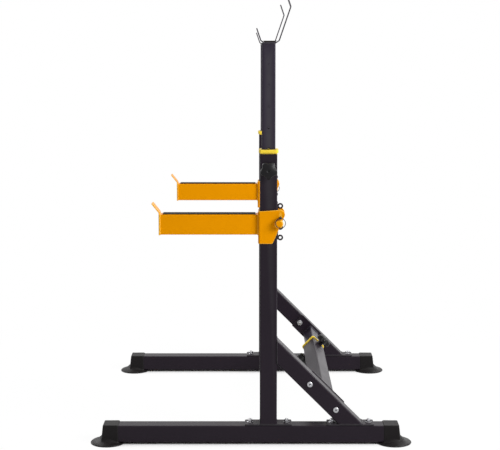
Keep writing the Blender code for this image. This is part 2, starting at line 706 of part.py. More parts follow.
def hook(side, body):
    """Hook of bent plate round the upright, with the stub on its outer side."""
    reach = EYE_Y + LOBE_OUT - UPRIGHT_Y + OVERCUT
    section = [(-HOOK_OUTSIDE, reach, 0), (-HOOK_OUTSIDE, -HOOK_OUTSIDE, HOOK_BEND),
               (HOOK_OUTSIDE, -HOOK_OUTSIDE, HOOK_BEND), (HOOK_OUTSIDE, reach, 0),
               (HOOK_INSIDE, reach, 0), (HOOK_INSIDE, -HOOK_INSIDE, HOOK_BEND - PLATE),
               (-HOOK_INSIDE, -HOOK_INSIDE, HOOK_BEND - PLATE), (-HOOK_INSIDE, reach, 0)]
    channel = plate("spotter_hook_" + side.name, [rounded(section)], 2 * (HOOK_DROP + OVERCUT))
    place(channel, body, (side.x, UPRIGHT_Y, EYE_Z))
    half = HOOK_OUTSIDE + OVERCUT
    front = UPRIGHT_Y - EYE_Y - half
    outline = rounded([(front, -HOOK_DROP, 0), (-HOOK_TAIL, -HOOK_DROP, TAIL_RADIUS),
                       (LOBE_OUT, LOBE_UP, LOBE_RADIUS), (front, HOOK_RISE, 0)])
    blank = plate(channel.name + "_blank", [outline], 2 * half)
    place(blank, body, (side.x, EYE_Y, EYE_Z), CROSSWAYS)
    combine(channel, blank, "INTERSECT")
    stub = rod(channel.name + "_stub", STUB_RADIUS, HOOK_OUTSIDE - PLATE / 2,
               HOOK_OUTSIDE + STUB_LENGTH)
    place(stub, body, (side.x, EYE_Y - STUB_FRONT, EYE_Z - STUB_DROP), facing((side.sign, 0, 0)))
    combine(channel, stub, "UNION")
    drill(channel, body, (side.x, EYE_Y, EYE_Z), (side.sign, 0, 0),
          RING_PIN_RADIUS + BORE_GAP, -half, half)
    finish(channel, AMBER_PAINT)


def arm(side, body):
    """Arm of rectangular tube, closed in front by a plate that is bent up into a lip."""
    tube = square_tube("spotter_arm_" + side.name, ARM_WIDTH, ARM_LENGTH, ARM_HEIGHT, ARM_WALL)
    place(tube, body, (side.x, ARM_REAR - ARM_LENGTH / 2, ARM_Z), LENGTHWAYS)
    front = ARM_REAR - ARM_LENGTH
    corners = walk((0, -ARM_HEIGHT / 2 - LIP_DROP),
                   [(LIP_DROP + ARM_HEIGHT + LIP_RISE, pi / 2), (LIP_LENGTH, pi - LIP_ANGLE)])
    lip = bent_strip(tube.name + "_lip", corners, LIP_BEND, ARM_WIDTH, LIP_PLATE)
    place(lip, body, (side.x, front, ARM_Z))
    combine(tube, lip, "UNION")
    finish(tube, AMBER_PAINT)
    pad_front = front + LIP_PLATE / 2 + ARM_PAD_FRONT
    pad_rear = ARM_REAR - ARM_PAD_REAR
    pad = block("arm_pad_" + side.name, (ARM_PAD_WIDTH, pad_rear - pad_front, ARM_PAD))
    place(pad, body, (side.x, (pad_front + pad_rear) / 2,
                      ARM_Z + ARM_HEIGHT / 2 + GAP + ARM_PAD / 2))
    finish(pad, BLACK_RUBBER)


def ring_pin(side, pin_body, ring_body):
    """Pin through the hook's sides behind the upright, with a wire ring to pull it by."""
    end = RING_PLANE + RING_PIN_TAIL
    pin = rod("ring_pin_" + side.name, RING_PIN_RADIUS, EYE_THICK / 2 + PIN_GAP, end)
    place(pin, pin_body, (side.x, EYE_Y, EYE_Z), facing((side.sign, 0, 0)))
    ring_x = side.x + side.sign * RING_PLANE
    half = RING_PIN_RADIUS + OVERCUT
    drill(pin, pin_body, (ring_x, EYE_Y, EYE_Z), (0, 1, 0), RING_HOLE, -half, half)
    finish(pin, BLACK_STEEL)
    bpy.ops.mesh.primitive_torus_add(major_radius=RING_RADIUS, minor_radius=RING_WIRE,
                                     major_segments=RING_SIDES, minor_segments=WIRE_SIDES)
    torus = bpy.context.object
    ring = new_piece("pull_ring_" + side.name, torus.data)
    bpy.data.objects.remove(torus, do_unlink=True)
    place(ring, ring_body, (ring_x, EYE_Y, EYE_Z - RING_RADIUS), CROSSWAYS)
    finish(ring, BLACK_STEEL)


def crossbar(right, left):
    """Crossbar whose inner tube, on the left frame, slides in the outer one on the right."""
    y, z = on_brace(CROSS_ALONG)
    turn = TILTED @ CROSSWAYS
    outer = square_tube("crossbar_outer", TUBE, CROSS_NEAR_END - CROSS_FAR_END)
    place(outer, right.body, ((CROSS_NEAR_END + CROSS_FAR_END) / 2, y, z), turn)
    for direction in (CROSS_UP, -CROSS_UP):
        pin_boss(outer, right.body, (CROSS_PIN_X, y, z), direction)
    finish(outer, BLACK_PAINT)
    bush = new_piece("crossbar_bush", BUSH)
    place(bush, right.body, (CROSS_FAR_END, y, z), TILTED @ facing((-1, 0, 0)))
    inner_end = CROSS_FAR_END + CROSS_INSIDE
    inner = square_tube("crossbar_inner", POST, inner_end + CROSS_NEAR_END)
    place(inner, left.body, ((inner_end - CROSS_NEAR_END) / 2, y, z), turn)
    for step in range(-CROSS_HOLES_IN, CROSS_HOLES_OUT + 1):
        drill(inner, left.body, (CROSS_PIN_X + step * CROSS_PITCH, y, z), CROSS_UP,
              PIN_RADIUS + BORE_GAP, POST / 2 - 2 * WALL, TUBE / 2)
    finish(inner, BLACK_STEEL)


def frame(side):
    base(side)
    flange("upright_flange", side, UPRIGHT_Y, BOLT_LINE)
    flange("brace_flange", side, BRACE_FOOT_Y, BRACE_BOLT_LINE)
    base_fasteners(side)
    upright(side)
    eye_rail(side)
    brace(side)
    cross_plate(side)


def sliding_post(side):
    body = new_body(side.name + "_post", (side.x, UPRIGHT_Y, UPRIGHT_TOP), side.body)
    post(side, body)
    cradle(side, body)
    lock(("post_pin_" + side.name, "post_knob_" + side.name), side.name + "_post", side.body,
         (side.x, UPRIGHT_Y, POST_PIN_Z), (side.sign, 0, 0))


def spotter(side):
    spot = (side.x, EYE_Y, EYE_Z)
    body = new_body(side.name + "_spotter", spot, side.body)
    hook(side, body)
    arm(side, body)
    pin_body = new_body(side.name + "_ring_pin", spot, body)
    ring_spot = (side.x + side.sign * RING_PLANE, EYE_Y, EYE_Z)
    ring_body = new_body(side.name + "_pull_ring", ring_spot, pin_body)
    ring_pin(side, pin_body, ring_body)


def crossbar_locks(right):
    spot = (CROSS_PIN_X, *on_brace(CROSS_ALONG))
    for label, direction in (("upper", CROSS_UP), ("lower", -CROSS_UP)):
        lock(("cross_pin_" + label, "cross_knob_" + label), label + "_cross", right.body,
             spot, direction)


clear_scene()
PARTS = new_collection("power_rack")
CUTTERS = new_collection("cutters")
CROSS_UP = Vector((0, sin(BRACE_ANGLE), cos(BRACE_ANGLE)))

BOLT = bolt_mesh()
KNOB = knob_mesh()
PIN = pin_mesh()
BUSH = bush_mesh()
FOOT = foot_mesh()
for shared, look in ((BOLT, ZINC), (KNOB, BLACK_PLASTIC), (PIN, BLACK_STEEL),
                     (BUSH, YELLOW_PLASTIC), (FOOT, BLACK_PLASTIC)):
    pattern = new_piece(shared.name, shared)
    finish(pattern, look)
    bpy.data.objects.remove(pattern, do_unlink=True)

root = new_body("right_frame", (0, 0, 0))
left_frame = new_body("left_frame", (-CROSS_NEAR_END, *on_brace(CROSS_ALONG)), root)
RIGHT = Side("right", 1, FRAME_X, root)
LEFT = Side("left", -1, -FRAME_X, left_frame)
for standing in (RIGHT, LEFT):
    frame(standing)
    sliding_post(standing)
    spotter(standing)
crossbar(RIGHT, LEFT)
crossbar_locks(RIGHT)
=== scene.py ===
"""Looks of a squat rack: two standing frames with sliding posts, joined by a crossbar.

Metres, +Z up, X across the rack, +Y to the rear. The right frame is the one at +X. Pieces are
worked out for the right frame, and the left frame has their mirror images.
"""

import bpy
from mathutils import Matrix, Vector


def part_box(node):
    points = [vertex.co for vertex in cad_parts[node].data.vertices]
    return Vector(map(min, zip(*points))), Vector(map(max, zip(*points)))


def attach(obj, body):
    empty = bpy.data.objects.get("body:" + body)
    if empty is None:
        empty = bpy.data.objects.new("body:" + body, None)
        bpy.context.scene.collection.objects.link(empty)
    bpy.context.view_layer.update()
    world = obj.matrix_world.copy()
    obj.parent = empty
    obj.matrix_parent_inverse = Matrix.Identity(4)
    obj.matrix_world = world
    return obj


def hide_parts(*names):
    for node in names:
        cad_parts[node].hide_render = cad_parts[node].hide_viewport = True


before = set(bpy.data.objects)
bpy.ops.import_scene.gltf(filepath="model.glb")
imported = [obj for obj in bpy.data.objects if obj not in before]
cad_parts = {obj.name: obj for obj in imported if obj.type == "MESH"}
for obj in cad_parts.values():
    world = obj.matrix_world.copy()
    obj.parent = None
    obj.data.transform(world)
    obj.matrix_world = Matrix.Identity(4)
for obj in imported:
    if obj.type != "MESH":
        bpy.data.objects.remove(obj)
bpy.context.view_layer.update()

from math import cos, pi, radians, sin

import bmesh
import bpy
import numpy as np
from mathutils import Vector
from mathutils.geometry import tessellate_polygon


# Studio: the camera stands 4 m to the right of the rack, almost as high as the bar cradles,
# and looks across it with a slight tilt down. The rack is lit by a white room and soft lamps:
# the strongest stands behind it on the right. The floor is pale.
CAMERA_SPOT = (4.6573, 0.0157, 1.3769)
CAMERA_TILT = radians(6.284)
CAMERA_LENS = 87.085
CAMERA_SHIFT = (-0.0109, -0.08)
SENSOR_WIDTH = 36.0
WHITE = (1, 1, 1, 1)
SQUARE = np.array([(-1, -1), (1, -1), (1, 1), (-1, 1)])
FLOOR_REACH = 9.0
FLOOR_COLOUR = (0.86, 0.86, 0.86, 1)
SHADOW_ZONE = (0.75, 1.7)        # from here to there the floor's soft shadows fade out
SHADOW_DEPTH = 0.05              # share of the floor that takes soft shadow beside the rack
CONTACT = 0.080                  # how far from the rack the floor takes its contact shadow
CONTACT_ZONE = (0.32, 0.80)      # how open the floor is where that shadow is full, and ends
ROOM_LIGHT = 0.20
# Each lamp's spot, target, size and power.
LAMPS = {"overhead_lamp": ((-0.4, 0.9, 4.2), (0.0, 0.1, 0.6), 3.6, 80),
         "key_lamp": ((2.6, 3.4, 2.8), (0.4, 0.0, 0.8), 2.0, 245),
         "far_lamp": ((-4.5, 3.2, 2.2), (0.0, 0.2, 0.4), 2.0, 42),
         "fill_lamp": ((-2.6, -3.6, 3.4), (0.0, 0.0, 0.8), 2.5, 150)}


def wired(tree, kind, inputs=None, **settings):
    """Outputs of a new shader node. Each input is a value, or the socket that feeds it."""
    node = tree.nodes.new("ShaderNode" + kind)
    for title, value in settings.items():
        setattr(node, title, value)
    for slot, value in (inputs or {}).items():
        if isinstance(value, bpy.types.NodeSocket):
            tree.links.new(value, node.inputs[slot])
        else:
            node.inputs[slot].default_value = value
    return node.outputs


def product(tree, first, *factors):
    """Sockets multiplied with one another."""
    for factor in factors:
        first = wired(tree, "Math", {0: first, 1: factor}, operation="MULTIPLY")[0]
    return first


def smoothed(tree, value, zone, least=0.0):
    """A value's way through a zone, from `least` before it to 1 behind it."""
    return wired(tree, "MapRange", {"Value": value, "From Min": zone[0], "From Max": zone[1],
                                    "To Min": least}, interpolation_type="SMOOTHSTEP")["Result"]


def empty_tree(block):
    """The node tree of a new world or material, without its first nodes."""
    block.use_nodes = True
    block.node_tree.nodes.clear()
    return block.node_tree


def new_object(name, data):
    """An object in the scene."""
    item = bpy.data.objects.new(name, data)
    bpy.context.scene.collection.objects.link(item)
    return item


def seen_directly(tree):
    """1 for rays that show the background: from the camera, off gloss or through glass."""
    path = wired(tree, "LightPath")
    total = path["Is Camera Ray"]
    for ray in ("Is Glossy Ray", "Is Transmission Ray"):
        total = wired(tree, "Math", {0: total, 1: path[ray]}, operation="ADD", use_clamp=True)[0]
    return total


def white_room():
    """Room that looks white and lights the rack evenly with a lower strength."""
    world = bpy.data.worlds.new("white_room")
    bpy.context.scene.world = world
    tree = empty_tree(world)
    lighting, shown = (wired(tree, "Background", {"Color": WHITE, "Strength": strength})[0]
                       for strength in (ROOM_LIGHT, 1.0))
    mix = wired(tree, "MixShader", {0: seen_directly(tree), 1: lighting, 2: shown})
    wired(tree, "OutputWorld", {"Surface": mix[0]})


def floor_look():
    """Pale floor: shadows show near the rack and fade into the white room further out."""
    look = bpy.data.materials.new("floor")
    tree = empty_tree(look)
    spot = wired(tree, "TexCoord")["Object"]
    away = wired(tree, "VectorMath", {0: spot}, operation="LENGTH")["Value"]
    near = wired(tree, "AmbientOcclusion", {"Distance": CONTACT})["AO"]
    shown = product(tree, smoothed(tree, away, SHADOW_ZONE, 1 - SHADOW_DEPTH),
                    smoothed(tree, near, CONTACT_ZONE), seen_directly(tree))
    matt = wired(tree, "BsdfDiffuse", {"Color": FLOOR_COLOUR})[0]
    white = wired(tree, "Emission")[0]
    mix = wired(tree, "MixShader", {0: shown, 1: matt, 2: white})
    wired(tree, "OutputMaterial", {"Surface": mix[0]})
    return look


def lamp(name, spot, target, size, power):
    """A square soft lamp at a spot, turned to a target."""
    data = bpy.data.lights.new(name, "AREA")
    data.shape = "SQUARE"
    data.size = size
    data.energy = power
    item = new_object(name, data)
    item.location = spot
    item.rotation_euler = (Vector(target) - Vector(spot)).to_track_quat("-Z", "Y").to_euler()


camera = new_object("camera", bpy.data.cameras.new("camera"))
camera.location = CAMERA_SPOT
camera.rotation_euler = (pi / 2 - CAMERA_TILT, 0, pi / 2)
camera.data.lens = CAMERA_LENS
camera.data.sensor_width = SENSOR_WIDTH
camera.data.shift_x, camera.data.shift_y = CAMERA_SHIFT
bpy.context.scene.camera = camera
bpy.context.scene.view_settings.view_transform = "Standard"
white_room()
for name, setting in LAMPS.items():
    lamp(name, *setting)
floor_mesh = bpy.data.meshes.new("floor")
floor_mesh.from_pydata([(x * FLOOR_REACH, y * FLOOR_REACH, 0) for x, y in SQUARE], [],
                       [(0, 1, 2, 3)])
floor_mesh.materials.append(floor_look())
floor = new_object("floor", floor_mesh)


# Base tubes: square steel tube, sawn to length and powder coated in black. Everything else of
# a frame stands on them. The feet cover their sawn ends.
base_low, base_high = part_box("base_tube_right")
TUBE = base_high.x - base_low.x
FRAME_X = (base_high.x + base_low.x) / 2
TUBE_WALL = 0.002
TUBE_CORNER = 0.005
SAWN_EDGE = 0.0004               # how far a sawn edge is broken
CORNER_STEPS = 8
STRAIGHT = 0.999999              # cosine from which a corner counts as straight
WELD_MERGE = 0.000002            # points that are this close are one
SMOOTH = radians(33)
GUARD = 0.0015                   # how far beside an edge the flat has points of its own
EDGE_RADIUS = (0.0045, 0.0018)   # radius from which an edge counts, and at which it is full
WEAR_AND_HIGHLIGHT_NOISE = (0.35, 0.65)        # noise from which marked edges gain, and at which they are full: worn coat, and on the amber coat also a painted highlight
WEAR_AND_HIGHLIGHT_LEAST = 0.7                 # share of the edge mark (worn coat, and on the amber coat painted highlight) that every edge has
DUST_SLOPE = 0.3                 # upward part of the normal from which dust lies
DUST = (0.20, 0.19, 0.18)
DUST_PATCHES = (22, 4.0, 0.6)    # scale, detail and roughness of its noise
BLACK = (0.0110, 0.0068, 0.0120)
BLACK_EDGE = (0.030, 0.027, 0.031)
X, Y, Z = np.eye(3)
SIDES = {"right": 1, "left": -1}


def unit(rows):
    """Rows brought to length 1."""
    return rows / np.linalg.norm(rows, axis=1, keepdims=True)


def lifted(outline, w):
    """Points (u, v, w) of an outline (u, v); w is one height, or one for each point."""
    return np.column_stack([outline, np.broadcast_to(w, len(outline))])


def guarded(line, closed=False):
    """Line with two more points on each long run, GUARD from its ends, so that what is marked
    on an edge fades there and doesn't spread over the flat beside it."""
    line = np.asarray(line, float)
    way = (np.roll(line, -1, 0) - line)[:None if closed else -1]
    length = np.linalg.norm(way, axis=1)
    share = GUARD / np.maximum(length, 3 * GUARD)
    shares = np.column_stack([0 * share, share, 1 - share])
    spots = line[:len(way), None] + way[:, None] * shares[:, :, None]
    long = length > 3 * GUARD
    spots = spots[np.column_stack([np.ones(len(long), bool), long, long])]
    return spots if closed else np.concatenate([spots, line[-1:]])


def rounded_line(corners, radii, steps=CORNER_STEPS, closed=True):
    """Line whose corners are arcs: an arc's centre lies on the bisector of its corner, and the
    arc turns from the touching point on one side to the touching point on the other."""
    corners = np.asarray(corners, float)
    radii = np.broadcast_to(np.asarray(radii, float), len(corners))[:, None]
    back = unit(np.roll(corners, 1, 0) - corners)
    ahead = unit(np.roll(corners, -1, 0) - corners)
    half = np.arccos(np.clip((back * ahead).sum(1), -STRAIGHT, STRAIGHT))[:, None] / 2
    centre = corners + unit(back + ahead) * radii / np.sin(half)
    start = corners + back * radii / np.tan(half) - centre
    side = np.sign(back[:, 1] * ahead[:, 0] - back[:, 0] * ahead[:, 1])[:, None]
    turn = side * (pi - 2 * half) * np.linspace(0, 1, steps + 1)
    across = start[:, :1] * np.cos(turn) - start[:, 1:] * np.sin(turn)
    along = start[:, :1] * np.sin(turn) + start[:, 1:] * np.cos(turn)
    arcs = centre[:, None] + np.stack([across, along], 2)
    if closed:
        return guarded(arcs.reshape(-1, 2), closed=True)
    return guarded(np.concatenate([corners[:1], arcs[1:-1].reshape(-1, 2), corners[-1:]]))


def rectangle(width, height, corner, steps=CORNER_STEPS):
    """Rounded rectangle about the origin, counter-clockwise."""
    return rounded_line(SQUARE * (width / 2, height / 2), max(corner, SAWN_EDGE), steps)


def shell(rings, closed=False):
    """Closed surface over rings (rings, points, 3): quads join each ring to the next. The last
    ring joins the first where the surface is closed, and a flat cap closes each end if not."""
    count, around = rings.shape[:2]
    ring = np.arange(count if closed else count - 1)[:, None]
    here = np.arange(around)[None]
    after = (here + 1) % around
    ahead = (ring + 1) % count
    faces = np.stack([ring * around + here, ring * around + after,
                      ahead * around + after, ahead * around + here], 2).reshape(-1, 4).tolist()
    if not closed:
        faces += [list(range(around)), list(range((count - 1) * around, count * around))]
    return rings.reshape(-1, 3), faces


def joined(shells):
    """Several shells as one."""
    points, faces, first = [], [], 0
    for part_points, part_faces in shells:
        points.append(part_points)
        faces += [[first + index for index in face] for face in part_faces]
        first += len(part_points)
    return np.concatenate(points), faces


def placed(part, spot=(0, 0, 0), u=X, v=Y, w=Z):
    """A shell moved from its own axes u, v, w to a spot of the rack."""
    points, faces = part
    return points @ np.stack([u, v, w]) + np.asarray(spot, float), faces


def tube(width, height, wall, corner, low, high, lean=(0.0, 0.0)):
    """Hollow section along w: its rings run up the outside, over the broken edges of the sawn
    end and down the inside. Each end is a plane that leans by a share of v."""
    b = SAWN_EDGE
    rows = [(0, b, 0), (0, b + GUARD, 0), (0, -b - GUARD, 1), (0, -b, 1), (b, 0, 1),
            (wall - b, 0, 1), (wall, -b, 1), (wall, b, 0), (wall - b, 0, 0), (b, 0, 0)]
    rings = []
    for inset, shift, end in rows:
        outline = rectangle(width - 2 * inset, height - 2 * inset, corner - inset)
        rings.append(lifted(outline, (low, high)[end] + shift + lean[end] * outline[:, 1]))
    return shell(np.array(rings), closed=True)


def mesh_of(name, shells):
    """One mesh of several closed shells, with its close points merged and its faces outwards."""
    points, faces = joined(shells)
    mesh = bpy.data.meshes.new(name)
    mesh.from_pydata(points, [], faces)
    work = bmesh.new()
    work.from_mesh(mesh)
    bmesh.ops.remove_doubles(work, verts=work.verts, dist=WELD_MERGE)
    bmesh.ops.recalc_face_normals(work, faces=work.faces)
    work.to_mesh(mesh)
    work.free()
    return mesh


def read(items, title, kind=float, width=1):
    """One property of all points, edges or faces of a mesh, with a row for each."""
    values = np.empty(len(items) * width, kind)
    items.foreach_get(title, values)
    return values if width == 1 else values.reshape(-1, width)


def mark_edges(mesh):
    """Attribute edge: 0 on flats and wide bends, up to 1 on tight edges. The faces round a
    point turn by 2 * sqrt(2 - 2 * length of the mean of their normals), and that over the
    shortest edge at the point is 1 / radius, which EDGE_RADIUS turns into a share."""
    corner_points = read(mesh.loops, "vertex_index", int)
    counts = read(mesh.polygons, "loop_total", int)
    normals = read(mesh.polygons, "normal", width=3)
    points = read(mesh.vertices, "co", width=3)
    ends = read(mesh.edges, "vertices", int, 2)
    total = np.zeros_like(points)
    np.add.at(total, corner_points, np.repeat(normals, counts, axis=0))
    faces = np.maximum(np.bincount(corner_points, minlength=len(points)), 1)
    mean = np.minimum(np.linalg.norm(total, axis=1) / faces, 1)
    length = np.linalg.norm(points[ends[:, 0]] - points[ends[:, 1]], axis=1)
    shortest = np.full(len(points), 1.0)
    np.minimum.at(shortest, ends.ravel(), np.repeat(length, 2))
    bend = 2 * np.sqrt(2 - 2 * mean) / shortest
    start, full = (1 / radius for radius in EDGE_RADIUS)
    share = np.clip((bend - start) / (full - start), 0, 1)
    layer = mesh.attributes.new("edge", "FLOAT", "POINT")
    layer.data.foreach_set("value", share.astype(np.float32))


def piece(name, shells, look, body, nodes):
    """Make a finished piece of closed shells, which rides on a body and stands for nodes."""
    mesh = mesh_of(name, shells)
    mesh.shade_smooth()
    mesh.set_sharp_from_angle(angle=SMOOTH)
    mark_edges(mesh)
    mesh.materials.append(look)
    item = new_object(name, mesh)
    flats = item.modifiers.new("flat_faces", "WEIGHTED_NORMAL")
    flats.keep_sharp = True
    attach(item, body)
    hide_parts(*nodes)


def pair(node, shells, look, body):
    """Make the pieces that stand for a node of both frames: as it is on the right frame, and
    mirrored on the left one."""
    for side, sign in SIDES.items():
        mirrored = [(points * (sign, 1, 1), faces) for points, faces in shells]
        piece(f"{side}_{node}", mirrored, look, f"{side}_{body}", [f"{node}_{side}"])


def node_group(name, inputs, outputs):
    """An empty shader group with number sockets, and its two ends."""
    group = bpy.data.node_groups.new(name, "ShaderNodeTree")
    for title, value in inputs.items():
        socket = group.interface.new_socket(title, in_out="INPUT", socket_type="NodeSocketFloat")
        socket.default_value = value
    for title in outputs:
        group.interface.new_socket(title, in_out="OUTPUT", socket_type="NodeSocketFloat")
    return group, group.nodes.new("NodeGroupInput").outputs, group.nodes.new("NodeGroupOutput").inputs


def noise(group, scale, detail, roughness=0.5):
    """Noise on the object's own coordinates; scale is a number or a socket that gives it."""
    where = wired(group, "TexCoord")["Object"]
    return wired(group, "TexNoise", {"Vector": where, "Scale": scale, "Detail": detail,
                                     "Roughness": roughness})["Fac"]


def grain_group():
    """Grain of a coat or a moulding: Height is the fine grain, Cloud its slow variation."""
    group, start, end = node_group("surface_grain", {"Grain": 700, "Patches": 9},
                                   ("Height", "Cloud"))
    for title, scale, detail in (("Height", "Grain", 2.0), ("Cloud", "Patches", 3.0)):
        group.links.new(noise(group, start[scale], detail), end[title])
    return group


def wear_and_highlight_group():
    """Thin or rubbed coat along edges, which on the amber coat is also a painted highlight: the edge
    attribute, broken up by noise.
    """
    group, start, end = node_group("edge_wear_and_highlight", {"Amount": 0.5, "Breaks": 18}, ("Mask",))
    edge = wired(group, "Attribute", attribute_name="edge")["Fac"]
    uneven = wired(group, "MapRange", {"Value": noise(group, start["Breaks"], 3.0),
                                       "From Min": WEAR_AND_HIGHLIGHT_NOISE[0], "From Max": WEAR_AND_HIGHLIGHT_NOISE[1],
                                       "To Min": WEAR_AND_HIGHLIGHT_LEAST})["Result"]
    group.links.new(product(group, edge, uneven, start["Amount"]), end["Mask"])
    return group


def dust_group():
    """Dust that settles: more where the surface looks up, in soft patches."""
    group, start, end = node_group("settled_dust", {"Amount": 0.3}, ("Mask",))
    normal = wired(group, "NewGeometry")["Normal"]
    height = wired(group, "SeparateXYZ", {0: normal})["Z"]
    upward = wired(group, "MapRange", {"Value": height, "From Min": DUST_SLOPE})["Result"]
    patches = noise(group, *DUST_PATCHES)
    group.links.new(product(group, upward, patches, start["Amount"]), end["Mask"])
    return group


SURFACE_GRAIN = grain_group()
EDGE_WEAR_AND_HIGHLIGHT = wear_and_highlight_group()
SETTLED_DUST = dust_group()


def mixed(tree, mask, low, high):
    """A colour between two, each a socket or four numbers, by a mask."""
    return wired(tree, "Mix", {"Factor": mask, 6: low, 7: high}, data_type="RGBA")[2]


def finish(name, colour, patches, edge_colour, rough, grain, wear_and_highlight, dust=0.0, metallic=0.0,
           specular=0.5, tint=(1.0, 1.0, 1.0)):
    """Material whose colour varies in patches by a share, wears to the edge colour along edges,
    and is dusted on top. On the amber coat the lighter edge colour is also a painted highlight.
    `rough` is the roughness and how far the patches change it, and `grain` is the scale of the
    fine grain and its depth in metres."""
    look = bpy.data.materials.new(name)
    look.use_nodes = True
    tree = look.node_tree
    surface = wired(tree, "Group", {"Grain": grain[0]}, node_tree=SURFACE_GRAIN)
    darker, lighter = ((*(value * (1 + change) for value in colour), 1)
                       for change in (-patches, patches))
    shade = mixed(tree, surface["Cloud"], darker, lighter)
    # Along edges the edge colour is worn coat, and on the amber coat it is also a painted highlight.
    for group, amount, cover in ((EDGE_WEAR_AND_HIGHLIGHT, wear_and_highlight, edge_colour), (SETTLED_DUST, dust, DUST)):
        if amount:
            mask = wired(tree, "Group", {"Amount": amount}, node_tree=group)["Mask"]
            shade = mixed(tree, mask, shade, (*cover, 1))
    gloss = wired(tree, "MapRange", {"Value": surface["Cloud"], "To Min": rough[0] - rough[1],
                                     "To Max": rough[0] + rough[1]})["Result"]
    bump = wired(tree, "Bump", {"Strength": 1.0, "Distance": grain[1],
                                "Height": surface["Height"]})["Normal"]
    shader = tree.nodes["Principled BSDF"].inputs
    shader["Metallic"].default_value = metallic
    shader["Specular IOR Level"].default_value = specular
    shader["Specular Tint"].default_value = (*tint, 1)
    for title, socket in (("Base Color", shade), ("Roughness", gloss), ("Normal", bump)):
        tree.links.new(socket, shader[title])
    return look


BLACK_COAT = finish("black_powder_coat", BLACK, 0.12, BLACK_EDGE, rough=(0.36, 0.05),
                    grain=(800, 0.00005), wear_and_highlight=0.7, dust=0.05, specular=0.14)
base_tube = tube(TUBE, TUBE, TUBE_WALL, TUBE_CORNER, base_low.y, base_high.y)
pair("base_tube", [placed(base_tube, (FRAME_X, 0, base_low.z + TUBE / 2), X, Z, Y)],
     BLACK_COAT, "frame")


# Feet: black moulded caps that are pushed over the ends of a base tube. The end wall of each
# runs down in a hollow curve into a round skirt that stands on the floor.
FOOT_BLACK = (0.0068, 0.0056, 0.0060)
FOOT_EDGE = (0.030, 0.030, 0.030)
CAP_WALL = 0.0023                # cap's side, from the tube
CAP_LEAN = 0.005                 # how far the end wall leans in at the top
CAP_SOFT = 0.0035
CAP_CORNER = 0.0056              # upright corners of the cap
CAP_REACH = 0.0395               # from the skirt's axis to the cap's mouth
CAP_END = 0.010                  # cap's end wall, past the tube's end
SKIRT_RIM = 0.0045
SKIRT_NECK = 0.028
SKIRT_HOLLOW = 1.7
SKIRT_BLEND = 0.007              # radius of the hollow between skirt and cap
TUBE_GAP = 0.0003
FOOT_POINTS = 160
FLAT_RINGS = (0.6, 0.2)          # rings on the foot's flats, as shares of its radius
TOP_RING = 0.04                  # the last ring on its top


def measured(line, closed):
    """A line, with its first point again at its end where it is closed, and how far along it
    each of its points lies."""
    line = np.concatenate([line, line[:1]]) if closed else np.asarray(line, float)
    steps = np.linalg.norm(np.diff(line, axis=0), axis=1)
    return line, np.concatenate([[0], np.cumsum(steps)])


def points_along(line, length, steps):
    """Points of a line at steps along its length."""
    return np.column_stack([np.interp(steps, length, column) for column in line.T])


def evenly(outline, count):
    """Closed outline as points at even steps along its length."""
    loop, length = measured(outline, closed=True)
    return points_along(loop, length, np.linspace(0, length[-1], count, endpoint=False))


def quarter(steps, start=0.0):
    """Angles of a quarter turn."""
    return start + np.linspace(0, pi / 2, steps + 1)


def softened(radius, height, soft, steps):
    """Quarter round of a turned edge, from its side to its end: the radius draws in by
    soft * (1 - cos a) while the height rises by soft * sin a."""
    return [(radius - soft * (1 - cos(turn)), height - soft * (1 - sin(turn)))
            for turn in quarter(steps)]


def foot_rings(skirt, end, top):
    """Rings about the skirt's axis. Along each ray from the axis the surface runs up the rim,
    up the slope z = rim + (neck - rim) * share ** hollow, through a hollow bend up the cap's
    wall, round its edge and over its top to the middle."""
    plan = evenly(rectangle(TUBE + 2 * CAP_WALL, end + CAP_REACH, CAP_CORNER), FOOT_POINTS)
    plan[:, 1] += (end - CAP_REACH) / 2
    reach = np.linalg.norm(plan, axis=1)
    ray = plan / reach[:, None]
    rows = []

    def add(radius, height):
        """Add a ring, which leans back by the cap's lean times its height over the neck, how
        far it lies towards the end wall and how near it is to the cap's side."""
        lean = CAP_LEAN * np.clip((height - SKIRT_NECK) / (top - SKIRT_NECK), 0, 1)
        lean = lean * np.clip(plan[:, 1] / end, 0, 1) * np.clip(radius / reach, 0, 1)
        rows.append(np.column_stack([ray[:, 0] * radius, ray[:, 1] * radius - lean,
                                     np.broadcast_to(height, reach.shape)]))

    def slope(radius):
        """Height of the skirt's hollow at a distance from the axis."""
        share = np.clip((skirt - radius) / (skirt - end), 0, 1)
        return SKIRT_RIM + (SKIRT_NECK - SKIRT_RIM) * share ** SKIRT_HOLLOW

    for share in FLAT_RINGS[::-1]:
        add(skirt * share, 0)
    for turn in quarter(4):
        add(skirt - SKIRT_RIM / 2 * (1 - sin(turn)), SKIRT_RIM / 2 * (1 - cos(turn)))
    outer = reach + SKIRT_BLEND
    for share in np.linspace(0, 1, 13)[1:]:
        radius = skirt + (outer - skirt) * share
        add(radius, slope(radius))
    start, corner = slope(outer), slope(reach)
    for share in np.linspace(0, 1, 9)[1:]:
        bend = (1 - share) ** 2
        lift = share ** 2
        add(reach + SKIRT_BLEND * bend,
            start * bend + corner * 2 * share * (1 - share) + (corner + SKIRT_BLEND) * lift)
    add(reach, SKIRT_NECK + SKIRT_BLEND * 2)
    for turn in quarter(6):
        add(reach - CAP_SOFT * (1 - cos(turn)), top - CAP_SOFT * (1 - sin(turn)))
    for share in (*FLAT_RINGS, TOP_RING):
        add(reach * share, top)
    return np.array(rows)


